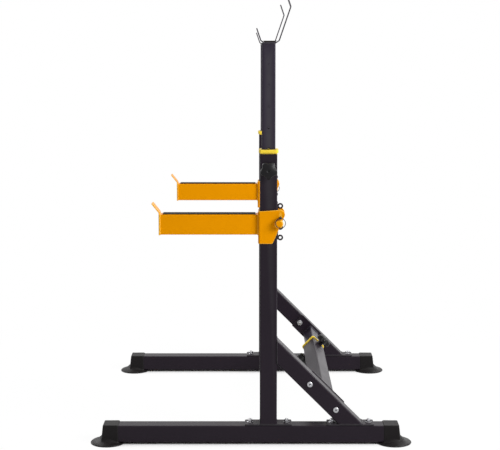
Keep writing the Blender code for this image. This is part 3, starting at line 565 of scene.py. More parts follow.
def bored(part, tool):
    """A shell with the space of a second one cut out of it."""
    blank, cutter = (new_object(title, mesh_of(title, [one]))
                     for title, one in (("blank", part), ("cutter", tool)))
    cut = blank.modifiers.new("cut", "BOOLEAN")
    cut.operation = "DIFFERENCE"
    cut.solver = "EXACT"
    cut.object = cutter
    graph = bpy.context.evaluated_depsgraph_get()
    mesh = bpy.data.meshes.new_from_object(blank.evaluated_get(graph))
    for item in (blank, cutter):
        bpy.data.objects.remove(item, do_unlink=True)
    return read(mesh.vertices, "co", width=3), [list(face.vertices) for face in mesh.polygons]


FOOT_PLASTIC = finish("moulded_foot_plastic", FOOT_BLACK, 0.10, FOOT_EDGE, rough=(0.46, 0.06),
                      grain=(1400, 0.00006), wear_and_highlight=0.35, dust=0.04, specular=0.12)
foot_low, foot_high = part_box("rear_foot_right")
skirt_radius = (foot_high.x - foot_low.x) / 2
foot_axis = foot_high.y - skirt_radius
foot = shell(foot_rings(skirt_radius, base_high.y - foot_axis + CAP_END, foot_high.z))
pocket_width = TUBE + 2 * TUBE_GAP
pocket_outline = rectangle(pocket_width, pocket_width, TUBE_CORNER)
pocket = shell(np.array([lifted(pocket_outline, y) for y in
                         (-2 * skirt_radius, base_high.y - foot_axis + TUBE_GAP)]))
foot = bored(foot, placed(pocket, (0, 0, base_low.z + TUBE / 2), X, Z, Y))
for label, end in (("rear_foot", 1), ("front_foot", -1)):
    pair(label, [placed(foot, (FRAME_X, end * foot_axis, 0), end * X, end * Y, Z)],
         FOOT_PLASTIC, "frame")


# Foot plates of the uprights and braces: 5 mm steel with rounded corners and two bolt holes,
# welded under the tube before the frame is powder coated, and bolted down on the base tube.
PLATE_EDGE = 0.0009
BOLT_HOLE = 0.0054
BOLT_EDGE = 0.0175               # from a bolt to its plate's end


def plate(outlines, thickness, edge, steps=3, rim=GUARD / 2):
    """Flat plate across w. Each outline draws in by edge * (1 - cos a) while w rises by
    edge * sin a, so its edge is round. It draws in once more on the flat, by rim, and the
    faces are filled there. The first outline runs counter-clockwise, the holes clockwise."""
    turns = np.concatenate([quarter(steps, -pi / 2), quarter(steps)])
    heights = np.sign(np.arange(len(turns)) - steps - 0.5) * (thickness / 2 - edge)
    rows = [(edge * (1 - cos(turn)), height + edge * sin(turn))
            for turn, height in zip(turns, heights)]
    rows = [(edge + rim, -thickness / 2)] + rows + [(edge + rim, thickness / 2)]
    walls, caps, first = [], ([], []), 0
    for outline in outlines:
        ahead = unit(np.roll(outline, -1, 0) - outline)
        middle = ahead + np.roll(ahead, 1, 0)
        inward = np.column_stack([-middle[:, 1], middle[:, 0]])
        inward *= 2 / (inward ** 2).sum(1, keepdims=True)
        points, faces = shell(np.array([lifted(outline + inward * inset, height)
                                        for inset, height in rows]))
        walls.append((points, faces[:-2]))
        caps[0].append(first + np.arange(len(outline)))
        caps[1].append(first + np.arange(len(points) - len(outline), len(points)))
        first += len(points)
    points, faces = joined(walls)
    for cap in caps:
        fill = tessellate_polygon([[(x, y, 0) for x, y in points[line, :2]] for line in cap])
        faces += np.concatenate(cap)[np.array(fill)].tolist()
    return points, faces


def circle(sides):
    """Points of a circle with radius 1, counter-clockwise."""
    turns = np.linspace(0, 2 * pi, sides, endpoint=False)
    return np.column_stack([np.cos(turns), np.sin(turns)])


def hole(centre, radius, sides=32):
    """Circle, clockwise, as a plate's holes are."""
    return centre + radius * circle(sides) * (1, -1)


def drilled_plate(width, length, thickness):
    """Oblong plate with a bolt hole near each end."""
    holes = [hole((0, end * (length / 2 - BOLT_EDGE)), BOLT_HOLE) for end in (-1, 1)]
    return plate([rectangle(width, length, TUBE_CORNER)] + holes, thickness, PLATE_EDGE)


for label in ("upright_flange", "brace_flange"):
    low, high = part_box(label + "_right")
    flange = drilled_plate(high.x - low.x, high.y - low.y, high.z - low.z)
    pair(label, [placed(flange, (low + high) / 2)], BLACK_COAT, "frame")
    flange_top = high.z


# Bolts: zinc-plated steel, pushed through from below or from outside, with a domed head, a
# washer and a hexagon nut. The nuts of the base bolts stand on the foot plates.
ZINC_COLOUR = (0.40, 0.40, 0.42)
ZINC_EDGE = (0.72, 0.72, 0.73)
WASHER = (0.011, 0.002)          # radius and height
WASHER_PLAY = 0.0003             # between the washer and its bolt
NUT = (0.0095, 0.008)            # radius over the corners, and height
NUT_CHAMFER = 0.0011
NUT_FACE = 0.985                 # radius of the nut's round end, as a share of its flats'
NUT_SIDES = 72
BOLT_RADIUS = 0.005
BOLT_END = 0.003
BOLT_TIP = 0.001                 # how far the thread's end draws in
BOLT_SOFT = 0.0004
BOLT_AXIS = 0.0003               # smallest ring of a bolt, on its axis
HEAD = (0.010, 0.0045)           # radius and height of the domed head
HEAD_SIDE = 0.0012               # height of the head's straight side
SOCKET = (0.0040, 0.0036)        # radius over the corners, and depth, of the head's hexagon
SOCKET_POINT = 0.0028            # depth of the drill's point below it
SOCKET_TIP = 0.0002
OVERCUT = 0.001                  # how far a cut starts outside what it cuts
THREAD_PITCH = 0.0015
THREAD_DEPTH = 0.0005
THREAD_ENDS = (0.001, 0.0008)    # start below the nut's top, and stop below the bolt's end
ROUND_SIDES = 36


def turned(profile, sides=ROUND_SIDES, closed=False):
    """Round shape about w: the profile (radius, w) turned once round."""
    around = circle(sides)
    return shell(np.array([lifted(around * radius, w)
                           for radius, w in guarded(profile, closed)]), closed)


def hexagon_nut(radius, low, high):
    """Hexagon whose corners are turned off at each end: each ring is the smaller of the
    hexagon's radius, flat / cos of the angle from the flat's middle, and a cone's radius."""
    turns = np.linspace(0, 2 * pi, NUT_SIDES, endpoint=False)
    around = circle(NUT_SIDES)
    flat = radius * cos(pi / 6)
    six = flat / np.cos((turns + pi / 6) % (pi / 3) - pi / 6)
    rings = []
    for height in np.concatenate([np.linspace(low, low + NUT_CHAMFER, 5),
                                  np.linspace(high - NUT_CHAMFER, high, 5)]):
        depth = min(height - low, high - height)
        cone = flat * NUT_FACE + depth * (radius - flat * NUT_FACE) / NUT_CHAMFER
        rings.append(lifted(around * np.minimum(six, cone)[:, None], height))
    return shell(np.array(rings))


def bolt_shells(grip):
    """A bolt about w, whose washer lies on w = 0 and whose head is at the grip's far end. The
    thread's radius is radius - depth * (1 + cos) / 2 once a pitch, and the head is a quarter
    of an ellipse with a hexagon socket."""
    washer_radius, washer_height = WASHER
    head_radius, head_height = HEAD
    socket_radius, socket_depth = SOCKET
    inside, e = BOLT_RADIUS + WASHER_PLAY, BOLT_SOFT
    washer = turned([(inside, 0), (washer_radius - e, 0), (washer_radius, e),
                     (washer_radius, washer_height - e), (washer_radius - e, washer_height),
                     (inside, washer_height)], closed=True)
    nut_top = washer_height + NUT[1]
    end = nut_top + BOLT_END
    crests = np.linspace(nut_top - THREAD_ENDS[0], end - THREAD_ENDS[1], 13)
    thread = BOLT_RADIUS - THREAD_DEPTH * (0.5 + 0.5 * np.cos(2 * pi * crests / THREAD_PITCH))
    profile = [(BOLT_AXIS, end), (BOLT_RADIUS - BOLT_TIP, end)]
    profile += list(zip(thread[::-1], crests[::-1]))
    profile += [(BOLT_RADIUS, 0), (BOLT_RADIUS, -grip), (head_radius - e, -grip),
                (head_radius, -grip - e), (head_radius, -grip - HEAD_SIDE)]
    profile += [(max(head_radius * cos(turn), BOLT_AXIS),
                 -grip - HEAD_SIDE - (head_height - HEAD_SIDE) * sin(turn))
                for turn in quarter(10)[1:]]
    bottom = head_height - socket_depth
    socket = [lifted(circle(6) * radius, -grip - depth)
              for radius, depth in ((SOCKET_TIP, bottom - SOCKET_POINT), (socket_radius, bottom),
                                    (socket_radius, head_height + OVERCUT))]
    return [washer, hexagon_nut(NUT[0], washer_height, nut_top),
            bored(turned(profile), shell(np.array(socket)))]


def bolts(node, out, axes):
    """The bolt of both frames that stands for a node, pointing along `out`."""
    low, high = (np.array(corner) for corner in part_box(node + "_right"))
    length = float(abs((high - low) @ out))
    above = WASHER[1] + NUT[1] + BOLT_END
    seat = (low + high) / 2 + out * (length / 2 - above)
    parts = [placed(part, seat, *axes) for part in bolt_shells(length - above - HEAD[1])]
    pair(node, parts, ZINC, "frame")


ZINC = finish("zinc_plate", ZINC_COLOUR, 0.10, ZINC_EDGE, rough=(0.30, 0.09),
              grain=(1100, 0.00004), wear_and_highlight=0.5, metallic=1.0)
for number in range(1, 5):
    bolts(f"base_bolt_{number}", Z, (X, Y, Z))


# Uprights: square tubes that stand welded on their foot plates. A threaded boss for the
# locking pin is welded on the outer side, just below the top.
BEAD = 0.0024                    # radius of a weld bead
BEAD_SWELL = 0.07                # how far its ripples change the radius
BEAD_END = (8, 0.02)             # power and least share of an open bead's taper
RIPPLE = 0.0034                  # length of one ripple of the bead
BEAD_SIDES = 10
BEAD_STEPS = 48                  # of the line of a bead round a boss
BOSS_RADIUS = 0.012
BOSS_LENGTH = 0.012
BOSS_SOFT = 0.0010
CORNER_CUT = 0.3                 # share of its radius by which a round cuts off its corner
PIN_RADIUS = 0.004
PIN_BORE = 0.0004
PIN_HOLE = PIN_RADIUS + PIN_BORE


def wire(path, side, other, size, sides, closed=False):
    """Round section along a path: the ring size * (side * cos t + other * sin t) round each
    of its points."""
    around = circle(sides)
    ring = side[:, None] * around[:, :1] + other[:, None] * around[:, 1:]
    return shell(path[:, None] + ring * np.reshape(size, (-1, 1, 1)), closed)


def bead(line, normal, radius=BEAD, closed=True):
    """Weld bead: a circle carried along a line that lies across `normal`. Its radius follows
    radius * (1 + swell * sin) once a ripple, and an open bead tapers off at both ends."""
    loop, length = measured(line, closed)
    ripples = max(round(length[-1] / RIPPLE), 3)
    steps = np.linspace(0, length[-1], ripples * 4, endpoint=not closed)
    path = points_along(loop, length, steps)
    if closed:
        tangent = unit(np.roll(path, -1, 0) - np.roll(path, 1, 0))
    else:
        tangent = unit(np.gradient(path, axis=0))
    size = radius * (1 + BEAD_SWELL * np.sin(2 * pi * ripples * steps / length[-1]))
    if not closed:
        share = 2 * steps / length[-1] - 1
        size *= np.sqrt(np.maximum(1 - share ** BEAD_END[0], BEAD_END[1]))
    return wire(path, np.cross(tangent, normal), np.asarray(normal, float)[None], size,
                BEAD_SIDES, closed)


def round_bead(centre, direction, radius, across):
    """Weld bead round a boss, on the plane across its direction."""
    around = radius * circle(BEAD_STEPS)
    return bead(centre + around @ [across, np.cross(direction, across)], direction)


def boss(spot, direction, across):
    """Threaded boss on a tube's face, with its weld bead: a sleeve with turned edges."""
    start, end, e = TUBE / 2 - TUBE_WALL / 2, TUBE / 2 + BOSS_LENGTH, BOSS_SOFT
    sleeve = turned([(PIN_HOLE, start), (BOSS_RADIUS, start), (BOSS_RADIUS, end - e),
                     (BOSS_RADIUS - e * CORNER_CUT, end - e * CORNER_CUT), (BOSS_RADIUS - e, end),
                     (PIN_HOLE + e / 2, end), (PIN_HOLE, end - e / 2)], closed=True)
    face = np.asarray(spot) + direction * TUBE / 2
    return [placed(sleeve, spot, across, np.cross(direction, across), direction),
            round_bead(face, direction, BOSS_RADIUS, across)]


def bore(part, spots, direction, across, radius, low, high, sides=32):
    """A shell with round holes along a direction, from low to high past each spot."""
    drill = turned([(radius, low), (radius, high)], sides)
    return bored(part, joined([placed(drill, spot, across, np.cross(direction, across), direction)
                               for spot in spots]))


upright_low, upright_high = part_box("upright_tube_right")
UPRIGHT_Y = (upright_low.y + upright_high.y) / 2
REAR_FACE = upright_high.y
pin_low, pin_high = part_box("post_pin_right")
post_pin_spot = np.array([FRAME_X, UPRIGHT_Y, (pin_low.z + pin_high.z) / 2])
upright = placed(tube(TUBE, TUBE, TUBE_WALL, TUBE_CORNER, upright_low.z, upright_high.z),
                 (FRAME_X, UPRIGHT_Y, 0))
upright = bore(upright, [post_pin_spot], X, Y, PIN_HOLE, TUBE / 3, TUBE)
section = rectangle(TUBE, TUBE, TUBE_CORNER)
foot_line = lifted(section + (FRAME_X, UPRIGHT_Y), upright_low.z)
pair("upright_tube", [upright, bead(foot_line, Z)] + boss(post_pin_spot, X, Y),
     BLACK_COAT, "frame")


# Bushes: lemon-yellow moulded plastic, pushed into the top of each upright. The collar lies
# on the tube's end, and the sleeve under it fills the space round the sliding post.
YELLOW = (0.79, 0.58, 0.037)
YELLOW_EDGE = (0.80, 0.62, 0.10)
COLLAR_OUT = 0.004               # collar past the tube's side
COLLAR_SOFT = 0.0018
COLLAR_GROOVE = 0.0034           # height of the groove between the collar and the tube
SLEEVE_LENGTH = 0.025
SLEEVE_CHAMFER = 0.0006
POST_PLAY = 0.0005               # between the bush and the post
BUSH_MOUTH = 0.0030              # chamfer that takes the weld under the cradle
BUSH_CORNER = 0.0025             # least corner of the bush's sleeve


def bush(post_width, height):
    """Square bush about w, whose collar lies on w = 0: rings of rounded squares, each with
    its own half width and height, go up the collar's outside and down the bore."""
    half = TUBE / 2 + COLLAR_OUT
    inside = TUBE / 2 - TUBE_WALL - TUBE_GAP
    bore_half = post_width / 2 + POST_PLAY
    neck = TUBE / 2 - TUBE_WALL / 2
    soft = [(half - COLLAR_SOFT * (1 - cos(turn)), sin(turn)) for turn in quarter(5)]
    rows = [(inside, TUBE_GAP), (neck, TUBE_GAP), (neck, COLLAR_GROOVE),
            (half - COLLAR_SOFT, COLLAR_GROOVE)]
    rows += [(width, COLLAR_GROOVE + COLLAR_SOFT * (1 - rise)) for width, rise in soft[::-1][1:]]
    rows += [(width, height - COLLAR_SOFT * (1 - rise)) for width, rise in soft]
    rows += [(bore_half + BUSH_MOUTH, height), (bore_half, height - BUSH_MOUTH),
             (bore_half, -SLEEVE_LENGTH), (inside - SLEEVE_CHAMFER, -SLEEVE_LENGTH),
             (inside, -SLEEVE_LENGTH + SLEEVE_CHAMFER)]
    rings = []
    for width, w in guarded(rows, closed=True):
        corner = TUBE_CORNER + max(width - TUBE / 2, -TUBE_WALL)
        rings.append(lifted(rectangle(2 * width, 2 * width, max(corner, BUSH_CORNER)), w))
    return shell(np.array(rings), closed=True)


YELLOW_PLASTIC = finish("yellow_moulding", YELLOW, 0.05, YELLOW_EDGE, rough=(0.42, 0.05),
                        grain=(1200, 0.00005), wear_and_highlight=0.3, specular=0.25)
post_low, post_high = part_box("post_right")
POST = post_high.x - post_low.x
bush_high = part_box("upright_bush_right")[1]
yellow_bush = bush(POST, bush_high.z - upright_high.z)
pair("upright_bush", [placed(yellow_bush, (FRAME_X, UPRIGHT_Y, upright_high.z))],
     YELLOW_PLASTIC, "frame")


# Eye rails: flat steel cut to a row of eyes, welded on edge down the upright's rear face. The
# spotter's ring pin belongs in one of the eyes.
EYE_OUT = 0.011
EYE_HOLE = 0.0047
EYE_RADIUS = 0.0100
EYE_WEB = 0.0035
EYE_PITCH = 0.037
EYE_THICK = 0.006
EYE_STEPS = 41
EYES = (-2, -1, 0, 1)
RAIL_GAP = 0.0003
RAIL_EDGE = 0.0006
RAIL_BEAD = (0.0016, 0.002)      # radius of the rail's beads, and how far they stop short
ring_pin_low, ring_pin_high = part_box("ring_pin_right")
EYE_Z = (ring_pin_low.z + ring_pin_high.z) / 2
EYE_Y = (ring_pin_low.y + ring_pin_high.y) / 2
turn_limit = np.arccos((EYE_WEB - EYE_OUT) / EYE_RADIUS)
eye_turns = np.linspace(-turn_limit, turn_limit, EYE_STEPS)
eye = np.column_stack([EYE_OUT + EYE_RADIUS * np.cos(eye_turns), EYE_RADIUS * np.sin(eye_turns)])
rail_front = np.concatenate([eye + (0, EYE_PITCH * step) for step in EYES])
rail_back = np.array([(RAIL_GAP, rail_front[-1, 1]), (RAIL_GAP, rail_front[0, 1])])
eye_rail = plate([np.concatenate([rail_front, rail_back])]
                 + [hole((EYE_OUT, EYE_PITCH * step), EYE_HOLE) for step in EYES],
                 EYE_THICK, RAIL_EDGE)
rail_ends = [EYE_Z + rail_front[0, 1] + RAIL_BEAD[1], EYE_Z + rail_front[-1, 1] - RAIL_BEAD[1]]
rail_beads = [bead([(FRAME_X + end * EYE_THICK / 2, REAR_FACE, z) for z in rail_ends], X,
                   RAIL_BEAD[0], closed=False) for end in (-1, 1)]
pair("eye_rail", [placed(eye_rail, (FRAME_X, REAR_FACE, EYE_Z), Y, Z, X)] + rail_beads,
     BLACK_COAT, "frame")


# Braces: square tubes at 45 degrees, cut upright where they meet the upright and level where
# they stand on their foot plates, and welded at both ends.
BRACE_ANGLE = radians(45)
BRACE_GAP = 0.0003
brace_flange_low, brace_flange_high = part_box("brace_flange_right")
BRACE_FOOT = (brace_flange_low.y + brace_flange_high.y) / 2
BRACE_RUN = (BRACE_FOOT - REAR_FACE) / cos(BRACE_ANGLE)
UP_BRACE = np.array([0, -cos(BRACE_ANGLE), sin(BRACE_ANGLE)])
OFF_BRACE = np.array([0, sin(BRACE_ANGLE), cos(BRACE_ANGLE)])
brace_foot_spot = np.array([FRAME_X, BRACE_FOOT, flange_top])
brace_cut = BRACE_GAP / sin(BRACE_ANGLE)
brace = tube(TUBE, TUBE, TUBE_WALL, TUBE_CORNER, brace_cut, BRACE_RUN - brace_cut, lean=(-1, 1))


def mitre_line(low, lean):
    """Where the brace's outside meets a plane that leans by a share of v."""
    w = low + lean * section[:, 1]
    return brace_foot_spot + section[:, :1] * X + section[:, 1:] * OFF_BRACE + w[:, None] * UP_BRACE


brace_beads = [bead(mitre_line(brace_cut, -1), Z), bead(mitre_line(BRACE_RUN - brace_cut, 1), Y)]
pair("brace", [placed(brace, brace_foot_spot, X, OFF_BRACE, UP_BRACE)] + brace_beads,
     BLACK_COAT, "frame")


# Cross plates: the crossbar's ends are welded on these plates, which are bolted on the inner
# sides of the braces.
plate_low, plate_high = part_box("cross_plate_right")
cross_spot = np.array((plate_low + plate_high) / 2)
CROSS_PLATE = (0.065, 0.165)
cross_plate = drilled_plate(*CROSS_PLATE, plate_high.x - plate_low.x)
pair("cross_plate", [placed(cross_plate, cross_spot, OFF_BRACE, UP_BRACE, X)],
     BLACK_COAT, "frame")
for label in ("upper_cross_bolt", "lower_cross_bolt"):
    bolts(label, -X, (Y, Z, -X))


# Posts: square tubes that slide in the uprights. Their outer side has a row of holes, and the
# locking pin holds the post by one of them.
HOLE_PITCH = 0.0726
HOLES = range(-3, 6)
HOLE_SIDES = 28
POST_BLACK = (0.0205, 0.0162, 0.0265)
POST_EDGE = (0.050, 0.048, 0.052)
POST_COAT = finish("post_powder_coat", POST_BLACK, 0.10, POST_EDGE, rough=(0.34, 0.05),
                   grain=(900, 0.00004), wear_and_highlight=0.6, specular=0.16, tint=(0.96, 0.89, 1.0))
post = placed(tube(POST, POST, TUBE_WALL, TUBE_CORNER, post_low.z, post_high.z),
              (FRAME_X, UPRIGHT_Y, 0))
hole_spots = [post_pin_spot + Z * HOLE_PITCH * step for step in HOLES]
post = bore(post, hole_spots, X, Y, PIN_HOLE, -POST, POST, HOLE_SIDES)
pair("post", [post], POST_COAT, "post")


# Bar cradles: 50 mm strip of 4 mm steel, bent to a dish for the bar with a low stop in front
# and a tall guide behind, and welded on top of each post. A rubber pad lies in the dish.
STRIP = 0.004
STRIP_EDGE = 0.0010
STRIP_BEND = 0.005
STRIP_END = 0.8                  # how fast the section's corners shrink towards a strip's end
CRADLE_WIDTH = 0.050
DISH = (0.017, 0.026)            # flat of the dish before and behind the post's axis
FLARE = (0.012, radians(35))     # length and slope of the short runs beside the dish
SIDE_LEAN = radians(71)
STOP_LENGTH = 0.044
GUIDE_LENGTH = 0.121
TIP_LENGTH = 0.046
CRADLE_BEAD = 0.0016             # radius of the bead round the post's top
PAD_EDGE = 0.0008
PAD_CORNER = 0.0005
RUBBER_BLACK = (0.0090, 0.0060, 0.0045)
RUBBER_EDGE = (0.018, 0.015, 0.013)


def walk(start, runs):
    """Corners of a line that starts at a point and follows runs of a length and an angle."""
    steps = [(length * cos(angle), length * sin(angle)) for length, angle in runs]
    return np.concatenate([[start], np.asarray(start) + np.cumsum(steps, axis=0)])


def strip(line, width, thickness, edge):
    """Bent strip: a rounded oblong carried along a line (v, w) in its middle, which shrinks
    over its last `edge` of length so that its ends are round too."""
    tangent = np.gradient(line, axis=0)
    tangent[0], tangent[-1] = line[1] - line[0], line[-1] - line[-2]
    tangent = unit(tangent)
    turns = quarter(3)[::-1]
    inset = edge * (1 - np.cos(turns))
    back = edge * (1 - np.sin(turns))
    spots = np.concatenate([line[0] + tangent[0] * back[:, None], line[1:-1],
                            (line[-1] - tangent[-1] * back[:, None])[::-1]])
    ways = np.concatenate([np.repeat(tangent[:1], 4, 0), tangent[1:-1],
                           np.repeat(tangent[-1:], 4, 0)])
    insets = np.concatenate([inset, np.zeros(len(line) - 2), inset[::-1]])
    rings = []
    for spot, way, draw in zip(spots, ways, insets):
        outline = rectangle(width - 2 * draw, thickness - 2 * draw, edge - draw * STRIP_END, 4)
        flat = spot + outline[:, 1:] * np.array([-way[1], way[0]])
        rings.append(np.column_stack([outline[:, 0], flat]))
    return shell(np.array(rings))


RUBBER = finish("black_rubber", RUBBER_BLACK, 0.15, RUBBER_EDGE, rough=(0.70, 0.08),
                grain=(900, 0.00012), wear_and_highlight=0.3, dust=0.02, specular=0.10)
level = BRACE_GAP + STRIP / 2
front_side = walk((-DISH[0], level), [(FLARE[0], pi - FLARE[1]), (STOP_LENGTH, pi - SIDE_LEAN)])
rear_side = walk((DISH[1], level), [(FLARE[0], FLARE[1]), (GUIDE_LENGTH, SIDE_LEAN),
                                    (TIP_LENGTH, pi - SIDE_LEAN)])
cradle_line = rounded_line(np.concatenate([front_side[::-1], rear_side]), STRIP_BEND,
                           closed=False)
cradle = placed(strip(cradle_line, CRADLE_WIDTH, STRIP, STRIP_EDGE),
                (FRAME_X, UPRIGHT_Y, post_high.z))
post_section = rectangle(POST, POST, TUBE_CORNER)
post_line = lifted(post_section + (FRAME_X, UPRIGHT_Y), post_high.z)
pair("cradle", [cradle, bead(post_line, Z, CRADLE_BEAD)], POST_COAT, "post")
pad_low, pad_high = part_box("cradle_pad_right")
narrow = (pad_high.z - pad_low.z) / np.tan(FLARE[1])
pad_outline = rounded_line([(pad_low.y + narrow, pad_low.z), (pad_high.y - narrow, pad_low.z),
                            (pad_high.y, pad_high.z), (pad_low.y, pad_high.z)],
                           [PAD_CORNER, PAD_CORNER, PAD_EDGE, PAD_EDGE], 4)
cradle_pad = plate([pad_outline], CRADLE_WIDTH, PAD_EDGE / 2)
pair("cradle_pad", [placed(cradle_pad, (FRAME_X, 0, 0), Y, Z, X)], RUBBER, "post")


# Locking pins and star knobs: a blackened steel pin runs through each boss towards a hole of
# the post or of the inner crossbar, and ends just short of it. A moulded knob with five lobes
# is pressed on its outer end.
KNOB_LOBES = 5
KNOB_RADIUS = 0.031
KNOB_WAVE = 0.0065
HUB = (0.014, 0.004)             # radius and length
HUB_BORE = 0.004
HUB_SOFT = 0.001
KNOB_THICK = 0.026
KNOB_START = TUBE / 2 + BOSS_LENGTH + 0.0005
KNOB_POINTS = 120
KNOB_FALL = 0.0105               # from the middle of the face to the lobes' tips
KNOB_SOFT = 0.0050
KNOB_EDGE = 0.0030
KNOB_FACE = 0.92                 # share of the way from its middle to its edge where it starts
KNOB_SOCKET = 0.0055             # radius of the socket in the middle of the face
KNOB_BRIM = 0.001                # how far the face stops outside the socket
KNOB_DIP = (0.0008, 0.0060, 0.0062)  # depth at the socket's edge, wall and middle
KNOB_TAPER = (0.0004, 0.0010)    # how far the socket's wall draws in, and its smallest ring
PIN_NOSE = (0.0028, 0.003)       # radius and length of the pin's tapered end
PIN_GAP = 0.0004                 # between the pin and the tube that it locks
PIN_SOFT = (0.0004, 0.0006)      # chamfers of its nose and of its outer end
PIN_GRIP = 0.018
PIN_SIDES = 28
STEEL = (0.020, 0.017, 0.017)
STEEL_EDGE = (0.07, 0.065, 0.06)
KNOB_BLACK = (0.0022, 0.0019, 0.0026)
KNOB_WORN = (0.02, 0.02, 0.02)


def knob():
    """Star knob about w. Its outline's radius is radius - wave * (1 - cos 5t) / 2. The rings
    run up the round hub, under the grip and up its side along that outline, and over a dome
    w = high - fall * (r / radius) ** 2, which has a socket in its middle."""
    low, high = HUB[1], HUB[1] + KNOB_THICK
    turns = np.linspace(0, 2 * pi, KNOB_POINTS, endpoint=False)
    outline = KNOB_RADIUS - KNOB_WAVE * (1 - np.cos(KNOB_LOBES * turns)) / 2
    inner = KNOB_SOCKET + KNOB_BRIM
    around = circle(KNOB_POINTS)

    def dome(radius):
        """Height of the knob's face at a distance from the axis."""
        return high - KNOB_FALL * (radius / KNOB_RADIUS) ** 2

    rows = [(HUB_BORE, 0), (HUB[0] - HUB_SOFT, 0), (HUB[0], HUB_SOFT),
            (HUB[0], low - HUB_SOFT), (HUB[0] + HUB_SOFT, low)]
    rows += [(outline - KNOB_SOFT * (1 - sin(turn)), low + KNOB_SOFT * (1 - cos(turn)))
             for turn in quarter(6)]
    for turn in quarter(6):
        radius = outline - KNOB_EDGE * (1 - cos(turn))
        rows.append((radius, dome(radius) - KNOB_EDGE * (1 - sin(turn))))
    for share in np.linspace(KNOB_FACE, 0.0, 12):
        radius = inner + share * (outline - KNOB_EDGE - inner)
        rows.append((radius, dome(radius)))
    rows += [(KNOB_SOCKET, dome(KNOB_SOCKET) - KNOB_DIP[0]),
             (KNOB_SOCKET - KNOB_TAPER[0], high - KNOB_DIP[1]),
             (KNOB_TAPER[1], high - KNOB_DIP[2])]
    return shell(np.array([lifted(around * np.reshape(radius, (-1, 1)), w)
                           for radius, w in rows]))


def locking_pin():
    """Pin about w, with w = 0 on the axis of the tube that it locks."""
    nose, end = POST / 2 + PIN_GAP, KNOB_START + PIN_GRIP
    soft, outer = PIN_SOFT
    return turned([(soft, nose), (PIN_NOSE[0] - soft, nose), (PIN_NOSE[0], nose + soft),
                   (PIN_RADIUS, nose + PIN_NOSE[1]), (PIN_RADIUS, end - outer),
                   (PIN_RADIUS - outer, end), (soft, end)], PIN_SIDES)


BLACK_STEEL = finish("blackened_steel", STEEL, 0.18, STEEL_EDGE, rough=(0.38, 0.06),
                     grain=(1500, 0.00002), wear_and_highlight=0.5, metallic=0.4, specular=0.2)
KNOB_PLASTIC = finish("moulded_knob_plastic", KNOB_BLACK, 0.10, KNOB_WORN, rough=(0.38, 0.04),
                      grain=(1600, 0.00001), wear_and_highlight=0.2, specular=0.21)
pair("post_pin", [placed(locking_pin(), post_pin_spot, Y, Z, X)], BLACK_STEEL, "post_pin")
pair("post_knob", [placed(knob(), post_pin_spot + X * KNOB_START, -Z, Y, X)], KNOB_PLASTIC,
     "post_knob")


# Spotter hooks: amber powder-coated plate, bent round the upright, with a lobe behind it on
# each side for the ring pin. A short stub is welded on the outer side, below the pin.
PLATE = 0.005
HOOK_GAP = 0.0011
HOOK_DROP = 0.091
HOOK_RISE = 0.0215
HOOK_TAIL = 0.0275
HOOK_BEND = 0.0045               # of the middle of the plate
HOOK_EDGE = 0.0017
HOOK_STEPS = 64
HOOK_LEAST = 2.02                # least height of the sheet, in edges
HOOK_CORNER = 0.0005
LOBE = (0.025, 0.029, 0.0165)    # corner behind and above the pin, and its radius
TAIL_RADIUS = 0.008
STUB = (0.0135, 0.014)
STUB_SOFT = 0.0014
STUB_AXIS = 0.0005               # smallest ring of the stub and of the ring pin
STUB_SHIFT = (-0.006, -0.021)
RING_PIN_RADIUS = 0.0045
AMBER = (0.690, 0.255, 0.0003)
# Lighter amber for the coat's edges: worn coat, and also a painted highlight along the rounded edges
# of hook, arm and lip where they catch the light.
AMBER_EDGE_WEAR_AND_HIGHLIGHT = (0.88, 0.50, 0.06)
HOOK_HALF = TUBE / 2 + HOOK_GAP + PLATE / 2


def hook_sheet():
    """Sheet of plate carried round the upright. Each ring is the rounded oblong of the sheet's
    section, from the lower to the upper outline at that distance behind the front."""
    front = UPRIGHT_Y - EYE_Y - HOOK_HALF - PLATE
    outline = rounded_line([(front, -HOOK_DROP), (-HOOK_TAIL, -HOOK_DROP), LOBE[:2],
                            (front, HOOK_RISE)],
                           [HOOK_CORNER, TAIL_RADIUS, LOBE[2], HOOK_CORNER], 40)
    rear = int(np.argmax(outline[:, 0]))
    first = int(np.argmin(np.abs(outline - (front, -HOOK_DROP)).sum(1)))
    lower = outline[first:rear + 1]
    upper = outline[rear:][::-1]
    reach = outline[rear, 0] + EYE_Y - UPRIGHT_Y
    start = -HOOK_HALF + HOOK_BEND
    run = start + (reach - start) * np.sin(np.linspace(0, pi / 2, HOOK_STEPS))
    bend = quarter(8)[1:]
    corner_out = np.column_stack([np.cos(bend), -np.sin(bend)])
    corner = np.array([HOOK_HALF - HOOK_BEND, start]) + HOOK_BEND * corner_out
    half_path = np.concatenate([np.column_stack([np.full(HOOK_STEPS, HOOK_HALF), run])[::-1],
                                corner])
    half_out = np.concatenate([np.tile((1.0, 0.0), (HOOK_STEPS, 1)), corner_out])
    path, out = (np.concatenate([half, (half * (-1, 1))[::-1]]) for half in (half_path, half_out))
    back = path[:, 1] + UPRIGHT_Y - EYE_Y
    low = np.interp(back, lower[:, 0], lower[:, 1])
    high = np.interp(back, upper[:, 0], upper[:, 1])
    tall = np.maximum(high - low, HOOK_LEAST * HOOK_EDGE)
    ring = rectangle(PLATE, 1.0, HOOK_EDGE, 4)
    ring_end = np.sign(ring[:, 1])
    ring_rise = ring[:, 1] - ring_end * 0.5
    height = (low + high)[:, None] / 2 + ring_end * tall[:, None] / 2 + ring_rise
    flat = path[:, None] + out[:, None] * ring[None, :, :1]
    return shell(np.concatenate([flat, height[:, :, None]], 2))


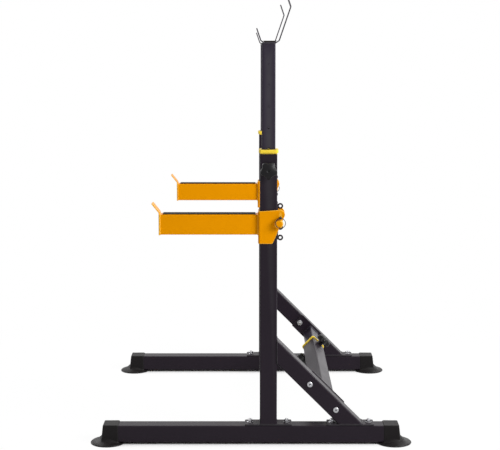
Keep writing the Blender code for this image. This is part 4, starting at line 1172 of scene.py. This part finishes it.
# The strong edge amount of 0.8 paints the lighter edge colour along the amber edges: worn coat, and
# mostly a painted highlight on the plate edges.
AMBER_COAT = finish("amber_powder_coat", AMBER, 0.02, AMBER_EDGE_WEAR_AND_HIGHLIGHT, rough=(0.34, 0.05),
                    grain=(800, 0.00005), wear_and_highlight=0.8, specular=0.30, tint=(1.0, 0.45, 0.02))
ring_spot = np.array([FRAME_X, EYE_Y, EYE_Z])
hook = bore(placed(hook_sheet(), (FRAME_X, UPRIGHT_Y, EYE_Z)), [ring_spot], X, Y,
            RING_PIN_RADIUS + PIN_BORE, -TUBE, TUBE)
stub_end = HOOK_HALF + PLATE / 2 + STUB[1]
stub = turned([(STUB_AXIS, HOOK_HALF), (STUB[0], HOOK_HALF)]
              + softened(STUB[0], stub_end, STUB_SOFT, 5) + [(STUB_AXIS, stub_end)])
stub_spot = ring_spot + Y * STUB_SHIFT[0] + Z * STUB_SHIFT[1]
stub_bead = round_bead(stub_spot + X * (HOOK_HALF + PLATE / 2), X, STUB[0], Y)
pair("spotter_hook", [hook, placed(stub, stub_spot, Y, Z, X), stub_bead], AMBER_COAT,
     "spotter")


# Spotter arms: rectangular tube welded on the front of the hook, closed in front by a plate
# that is bent up and forward into a lip. A rubber strip is glued on top.
ARM_WALL = 0.0025
ARM_HEIGHT = 0.071
ARM_LENGTH = 0.342
ARM_DROP = 0.0255
ARM_BEAD = 0.0022
LIP_PLATE = 0.0040
LIP_EDGE = 0.0014
LIP_RUNS = (0.002, 0.006, 0.041)  # below the arm, above it up to the bend, and past the bend
LIP_ANGLE = radians(51.5)
LIP_BEND = 0.006
ARM_PAD_WORN = 0.0008            # how far the pad's top is pressed down
ARM_PAD_CORNERS = (0.0003, 0.0003, 0.0012, 0.0012)
ARM_PAD_EDGE = 0.0011
arm_low, arm_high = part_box("spotter_arm_right")
ARM_WIDTH = arm_high.x - arm_low.x
arm_z = EYE_Z - ARM_DROP
arm_rear = arm_high.y
arm_front = arm_rear - ARM_LENGTH
arm = tube(ARM_WIDTH, ARM_HEIGHT, ARM_WALL, TUBE_CORNER, arm_front, arm_rear)
lip_line = rounded_line(walk((0, -ARM_HEIGHT / 2 - LIP_RUNS[0]),
                             [(LIP_RUNS[0] + ARM_HEIGHT + LIP_RUNS[1], pi / 2),
                              (LIP_RUNS[2], pi - LIP_ANGLE)]), LIP_BEND, closed=False)
lip = placed(strip(lip_line, ARM_WIDTH, LIP_PLATE, LIP_EDGE), (FRAME_X, arm_front, arm_z))
arm_section = rectangle(ARM_WIDTH, ARM_HEIGHT, TUBE_CORNER)
arm_beads = [bead(np.column_stack([arm_section[:, 0] + FRAME_X, np.full(len(arm_section), y),
                                   arm_section[:, 1] + arm_z]), Y, ARM_BEAD)
             for y in (arm_front + LIP_PLATE / 2, arm_rear)]
pair("spotter_arm", [placed(arm, (FRAME_X, 0, arm_z), X, Z, Y), lip] + arm_beads,
     AMBER_COAT, "spotter")
arm_pad_low, arm_pad_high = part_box("arm_pad_right")
arm_pad_high.z -= ARM_PAD_WORN
arm_pad_size = arm_pad_high - arm_pad_low
arm_pad = plate([rounded_line(SQUARE * (arm_pad_size.y / 2, arm_pad_size.z / 2),
                              ARM_PAD_CORNERS, 5)], arm_pad_size.x, ARM_PAD_EDGE)
pair("arm_pad", [placed(arm_pad, (arm_pad_low + arm_pad_high) / 2, Y, Z, X)], RUBBER,
     "spotter")


# Ring pins: a blackened steel pin goes through the hook's lobe, towards an eye of the rail, and
# ends just short of it. A wire ring of two turns hangs in its cross hole, to pull it by.
RING_RADIUS = 0.017
RING_WIRE = 0.0011
RING_HOLE = 0.0024
RING_HOLE_REACH = 0.01
RING_STEPS = 193
RING_CROSSING = (1.85 * pi, 0.3 * pi)  # where the ring's turn changes sides, and how long it takes
NOSE_SOFT = 0.0012
PIN_CHAMFER = 0.0008
ring_box_low, ring_box_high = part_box("pull_ring_right")
ring_plane = (ring_box_low.x + ring_box_high.x) / 2
pin_start, pin_end = ring_pin_low.x - FRAME_X, ring_pin_high.x - FRAME_X
ring_pin = turned([(STUB_AXIS, pin_start), (RING_PIN_RADIUS - PIN_CHAMFER, pin_start),
                   (RING_PIN_RADIUS, pin_start + PIN_CHAMFER)]
                  + softened(RING_PIN_RADIUS, pin_end, NOSE_SOFT, 5) + [(STUB_AXIS, pin_end)],
                  sides=32)
ring_pin = bore(placed(ring_pin, ring_spot, Y, Z, X), [(ring_plane, EYE_Y, EYE_Z)], Y, Z,
                RING_HOLE, -RING_HOLE_REACH, RING_HOLE_REACH)
pair("ring_pin", [ring_pin], BLACK_STEEL, "ring_pin")


def split_ring():
    """Wire carried along two turns of a circle that shift sideways by a wire's width over a
    short stretch: X is (2s - 1) eased over the middle, times half the wire's diameter."""
    turns = np.linspace(0, 4 * pi, RING_STEPS)
    share = np.clip((turns - RING_CROSSING[0]) / RING_CROSSING[1], 0, 1)
    shift = (2 * share * share * (3 - 2 * share) - 1) * RING_WIRE
    path = np.column_stack([shift, RING_RADIUS * np.sin(turns), RING_RADIUS * np.cos(turns)])
    tangent = unit(np.gradient(path, axis=0))
    side = unit(np.cross(tangent, X))
    return wire(path, side, np.cross(side, tangent), RING_WIRE, 12)


pair("pull_ring", [placed(split_ring(), (ring_plane, EYE_Y, EYE_Z - RING_RADIUS))],
     BLACK_STEEL, "pull_ring")


# Crossbar: a larger tube on the right frame takes a smaller one on the left frame. Bosses above
# and below the larger one hold a locking pin and a clamping screw, and a yellow bush guides
# the smaller tube.
CROSS_PITCH = 0.050
CROSS_HOLES = range(-4, 4)
cross_low, cross_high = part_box("crossbar_outer")
inner_low, inner_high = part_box("crossbar_inner")
lock_low, lock_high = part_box("cross_pin_upper")
cross_axis = np.array([0, cross_spot[1], cross_spot[2]])
lock_spot = cross_axis + X * (lock_low.x + lock_high.x) / 2
cross_axes = (-UP_BRACE, OFF_BRACE, X)
cross_outer = placed(tube(TUBE, TUBE, TUBE_WALL, TUBE_CORNER, cross_low.x, cross_high.x),
                     cross_axis, *cross_axes)
cross_outer = bore(cross_outer, [lock_spot], OFF_BRACE, X, PIN_HOLE, -TUBE, TUBE)
cross_inner = placed(tube(POST, POST, TUBE_WALL, TUBE_CORNER, inner_low.x, inner_high.x),
                     cross_axis, *cross_axes)
cross_inner = bore(cross_inner, [lock_spot + X * CROSS_PITCH * step for step in CROSS_HOLES],
                   OFF_BRACE, X, PIN_HOLE, -POST, POST, HOLE_SIDES)


def cross_bead(outline, x):
    """Bead round the end of a crossbar tube, on its plate."""
    return bead(cross_axis + X * x - outline[:, :1] * UP_BRACE + outline[:, 1:] * OFF_BRACE, X)


piece("crossbar_outer_tube", [cross_outer, cross_bead(section, cross_high.x)]
      + boss(lock_spot, OFF_BRACE, X) + boss(lock_spot, -OFF_BRACE, X),
      BLACK_COAT, "right_frame", ["crossbar_outer"])
piece("crossbar_inner_tube", [cross_inner, cross_bead(post_section, inner_low.x)], POST_COAT,
      "left_frame", ["crossbar_inner"])
piece("crossbar_collar", [placed(yellow_bush, (cross_low.x, cross_spot[1], cross_spot[2]),
                                 UP_BRACE, OFF_BRACE, -X)],
      YELLOW_PLASTIC, "right_frame", ["crossbar_bush"])
for label, direction in (("upper", OFF_BRACE), ("lower", -OFF_BRACE)):
    axes = (X, np.cross(direction, X), direction)
    piece(f"{label}_crossbar_pin", [placed(locking_pin(), lock_spot, *axes)], BLACK_STEEL,
          f"{label}_cross_pin", [f"cross_pin_{label}"])
    piece(f"{label}_crossbar_knob",
          [placed(knob(), lock_spot + direction * KNOB_START, *axes)], KNOB_PLASTIC,
          f"{label}_cross_knob", [f"cross_knob_{label}"])
